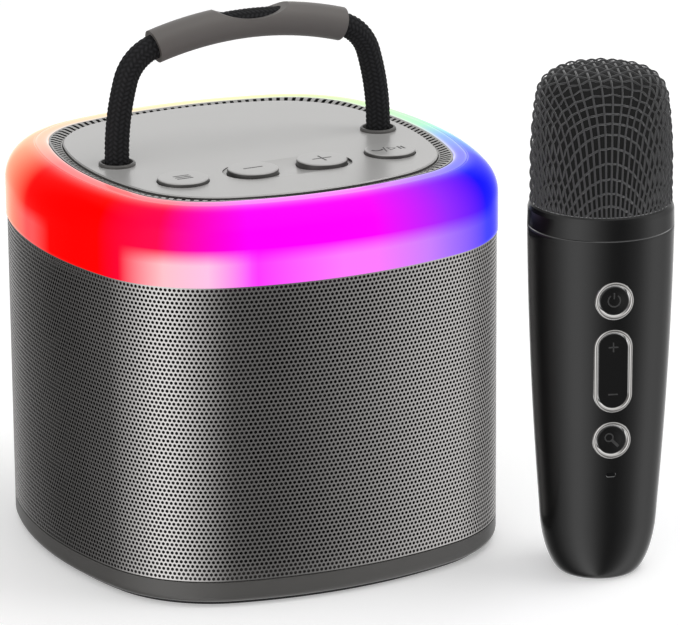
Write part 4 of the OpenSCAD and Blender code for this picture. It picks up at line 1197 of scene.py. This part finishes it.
def down_the_side(distance):
    """Radius, height and outward direction at a distance from the top, along the dome."""
    on_crown, on_shoulder = distance < CROWN_END, distance < SHOULDER_END
    steep_turn = math.pi / 2 - STEEP_TURN + (distance - SHOULDER_END) / STEEP_R
    turn = np.where(on_crown, distance / CROWN_R, np.where(
        on_shoulder, CROWN_TURN + (distance - CROWN_END) / SHOULDER_BEND,
        np.minimum(steep_turn, math.pi / 2)))
    radius = np.where(on_crown, CROWN_R * np.sin(turn), np.where(
        on_shoulder, SHOULDER_X + SHOULDER_BEND * np.sin(turn),
        DOME_R - STEEP_R + STEEP_R * np.sin(turn)))
    height = np.where(on_crown, DOME_TOP - CROWN_R + CROWN_R * np.cos(turn), np.where(
        on_shoulder, SHOULDER_Z + SHOULDER_BEND * np.cos(turn), STEEP_Z + STEEP_R * np.cos(turn)))
    return radius, height - np.maximum(distance - STEEP_END, 0), np.sin(turn), np.cos(turn)


# %% How the cloth stretches
STRETCH = ((0, 1.0), (12, 1.0), (20, 0.85), (25, 1.0), (28, 1.4), (33, 1.5), (37, 1.25), (45, 1.0))
FLAT = np.linspace(0, 45, 901)


def stretched(reach):
    """Distance down the side for a distance on the flat sheet."""
    rate = np.interp(FLAT, [s[0] for s in STRETCH], [s[1] for s in STRETCH])
    total = np.concatenate([[0], np.cumsum((rate[1:] + rate[:-1]) / 2 * FLAT[1])])
    return np.interp(reach, FLAT, total)


# %% Woven wires
WIRE_PITCH, WIRE_R, WIRE_SINK, WIRE_SIDES = 2.6, 0.24, 0.20, 6
STRAIGHT_CRIMP, DEEP_CRIMP = 0.07, 0.40
SHEET_REACH = float(np.interp(STEEP_END + STEEP_Z - MESH_Z, stretched(FLAT), FLAT))
SHEET_SHIFT, SHEET_TURN = WIRE_PITCH / 3, math.radians(4.7)


def drape(u, v, lift):
    reach = np.hypot(u, v)
    turn = np.arctan2(v, u) - SHEET_TURN
    radius, height, out, up = down_the_side(stretched(reach))
    radius = radius + (lift - WIRE_SINK) * out
    return np.stack([radius * np.cos(turn), radius * np.sin(turn),
                     height + (lift - WIRE_SINK) * up], -1)


def woven_wires(lengthwise):
    points, faces, count = [], [], 0
    lines = [WIRE_PITCH * k + (SHEET_SHIFT if lengthwise else 0) for k in range(-17, 18)]
    ring = np.arange(WIRE_SIDES) * 2 * math.pi / WIRE_SIDES
    for number, line in enumerate(lines):
        if abs(line) > SHEET_REACH - 1:
            continue
        half = math.sqrt(SHEET_REACH ** 2 - line ** 2)
        run = np.linspace(-half, half, max(int(2 * half / 0.42), 8))
        other = SHEET_SHIFT if not lengthwise else 0
        sign = (-1) ** number * (1 if lengthwise else -1)
        crimp = STRAIGHT_CRIMP if lengthwise else DEEP_CRIMP
        lift = sign * crimp * np.cos(np.pi * (run - other) / WIRE_PITCH)
        u, v = (line + 0 * run, run) if lengthwise else (run, line + 0 * run)
        middle = drape(u, v, lift)
        flat_middle, raised = drape(u, v, 0 * lift), drape(u, v, 0 * lift + 1)
        way = np.gradient(middle, axis=0)
        way /= np.linalg.norm(way, axis=1)[:, None]
        out = raised - flat_middle
        side = np.cross(way, out)
        side /= np.linalg.norm(side, axis=1)[:, None]
        out = np.cross(side, way)
        tube = middle[:, None] + WIRE_R * (np.cos(ring)[None, :, None] * side[:, None]
                                           + np.sin(ring)[None, :, None] * out[:, None])
        rows = len(run)
        faces += (grid_faces(rows, WIRE_SIDES, columns_closed=True)[:, ::-1] + count).tolist()
        faces.append([count + i for i in range(WIRE_SIDES)])
        faces.append([count + (rows - 1) * WIRE_SIDES + i for i in range(WIRE_SIDES)][::-1])
        points.append(tube.reshape(-1, 3))
        count += rows * WIRE_SIDES
    return np.concatenate(points), faces


for name, lengthwise in (("wire_cloth_lengthwise", True), ("wire_cloth_crosswise", False)):
    points, faces = woven_wires(lengthwise)
    add_piece(name, points, faces, "microphone", FINISHES["mesh_steel"],
              replaces=["mic_mesh"], place=MIC_PLACE, sharp=math.radians(80))

# %% [markdown]
# ## Light, floor and background
# Product pictures are lit by large soft boxes against white. The world gives soft light
# from all round, and a different, banded brightness to mirror-like reflections: bright
# boxes with dark gaps between them. So mirrors don't show the white background, which is a
# choice made for the banded look of the sleeve: the levels follow the brightness seen
# across it. The floor is white and keeps the soft shadow under the set.

# %% World
STUDIO = (  # degrees from +X, anticlockwise, and the brightness that a mirror sees there
    (0, 0.55), (20, 0.45), (45, 0.95), (78, 0.95), (98, 0.30), (118, 0.12), (134, 0.11),
    (150, 0.26), (172, 0.75), (192, 1.40), (206, 1.50), (222, 1.15), (242, 0.52), (258, 0.22),
    (274, 0.18),
    (288, 0.30), (304, 0.50), (318, 0.88), (330, 1.08), (343, 0.90), (360, 0.55))
BRIGHTEST, FILL = 1.5, 0.62
OVERHEAD_START, OVERHEAD_SLOPE, OVERHEAD_GREY = 0.55, 4.0, (0.75, 0.75, 0.75, 1)


def make_world():
    world = bpy.data.worlds.new("studio")
    scene.world = world
    world.use_nodes = True
    tree = world.node_tree
    tree.nodes.clear()
    stops = [(degrees, [value / BRIGHTEST] * 3) for degrees, value in STUDIO]
    banded, up = direction_ramp(tree, "Generated", stops)
    boxes = add_scale(tree, banded, BRIGHTEST)
    over = math_node(tree, "SUBTRACT", up, OVERHEAD_START)
    overhead = math_node(tree, "MULTIPLY", over, OVERHEAD_SLOPE, clamp=True)
    studio = add_mix(tree, overhead, boxes, OVERHEAD_GREY)
    rays = tree.nodes.new("ShaderNodeLightPath")
    straight = math_node(tree, "MAXIMUM", rays.outputs["Is Camera Ray"],
                         rays.outputs["Is Transmission Ray"])
    bright = add_mix(tree, straight, studio, WHITE)
    looking = math_node(tree, "MAXIMUM", straight, rays.outputs["Is Glossy Ray"])
    seen = add_mix(tree, looking, (FILL, FILL, FILL, 1), bright)
    background = tree.nodes.new("ShaderNodeBackground")
    wire(tree, seen, background.inputs["Color"])
    output = tree.nodes.new("ShaderNodeOutputWorld")
    wire(tree, background.outputs[0], output.inputs["Surface"])


make_world()

# %% [markdown]
# ## What the mirrors leave out
# A real sleeve would mirror the dark microphone beside it. That is switched off, for its
# pieces in the piece helper and for its solids here, so that the sleeve shows only the soft
# boxes. The ring, the floor and the lamps are left out of the mirrors in the same way.

# %% Microphone solids out of the mirrors
MIC_THINGS = [frame["nodes"][name] for body, names in frame["record"]["behaviour"]["bodies"].items()
              if body.startswith("mic") for name in names]
for thing in MIC_THINGS:
    thing.visible_glossy = False
print("left out of the mirrors:", len(MIC_THINGS))

# %% Lamps
def add_lamp(name, place, aim, size, watts):
    data = bpy.data.lights.new(name, "AREA")
    data.shape, data.size, data.energy = "SQUARE", size, watts
    lamp = bpy.data.objects.new(name, data)
    lamp.location = place
    way = Vector(aim) - Vector(place)
    lamp.rotation_euler = way.to_track_quat("-Z", "Y").to_euler()
    lamp.visible_glossy = False
    scene.collection.objects.link(lamp)


add_lamp("soft_key", (0.55, -0.25, 1.1), (0, 0, 0.05), 0.7, 5.5)
add_lamp("front_fill", (-0.9, -1.0, 0.9), (0, 0, 0.05), 0.8, 3.0)

# %% Floor
FLOOR_HALF, FLOOR_GLOW = 3, (0.30, 0.30, 0.30, 1)


def make_floor():
    material = bpy.data.materials.new("white floor")
    material.use_nodes = True
    tree = material.node_tree
    shader = tree.nodes["Principled BSDF"]
    shader.inputs["Roughness"].default_value = 0.55
    shader.inputs["Specular IOR Level"].default_value = 0.2
    shader.inputs["Base Color"].default_value = (0.86, 0.86, 0.86, 1)
    rays = tree.nodes.new("ShaderNodeLightPath")
    seen = math_node(tree, "MAXIMUM", rays.outputs["Is Camera Ray"], math_node(
        tree, "MAXIMUM", rays.outputs["Is Glossy Ray"], rays.outputs["Is Transmission Ray"]))
    glow = add_mix(tree, seen, (0, 0, 0, 1), FLOOR_GLOW)
    wire(tree, glow, shader.inputs["Emission Color"])
    shader.inputs["Emission Strength"].default_value = 1.0
    mesh = bpy.data.meshes.new("floor")
    corners = ((-1, -1), (1, -1), (1, 1), (-1, 1))
    mesh.from_pydata([(x * FLOOR_HALF, y * FLOOR_HALF, 0) for x, y in corners], [], [(0, 1, 2, 3)])
    mesh.materials.append(material)
    floor = bpy.data.objects.new("floor", mesh)
    floor.visible_glossy = False
    scene.collection.objects.link(floor)


make_floor()
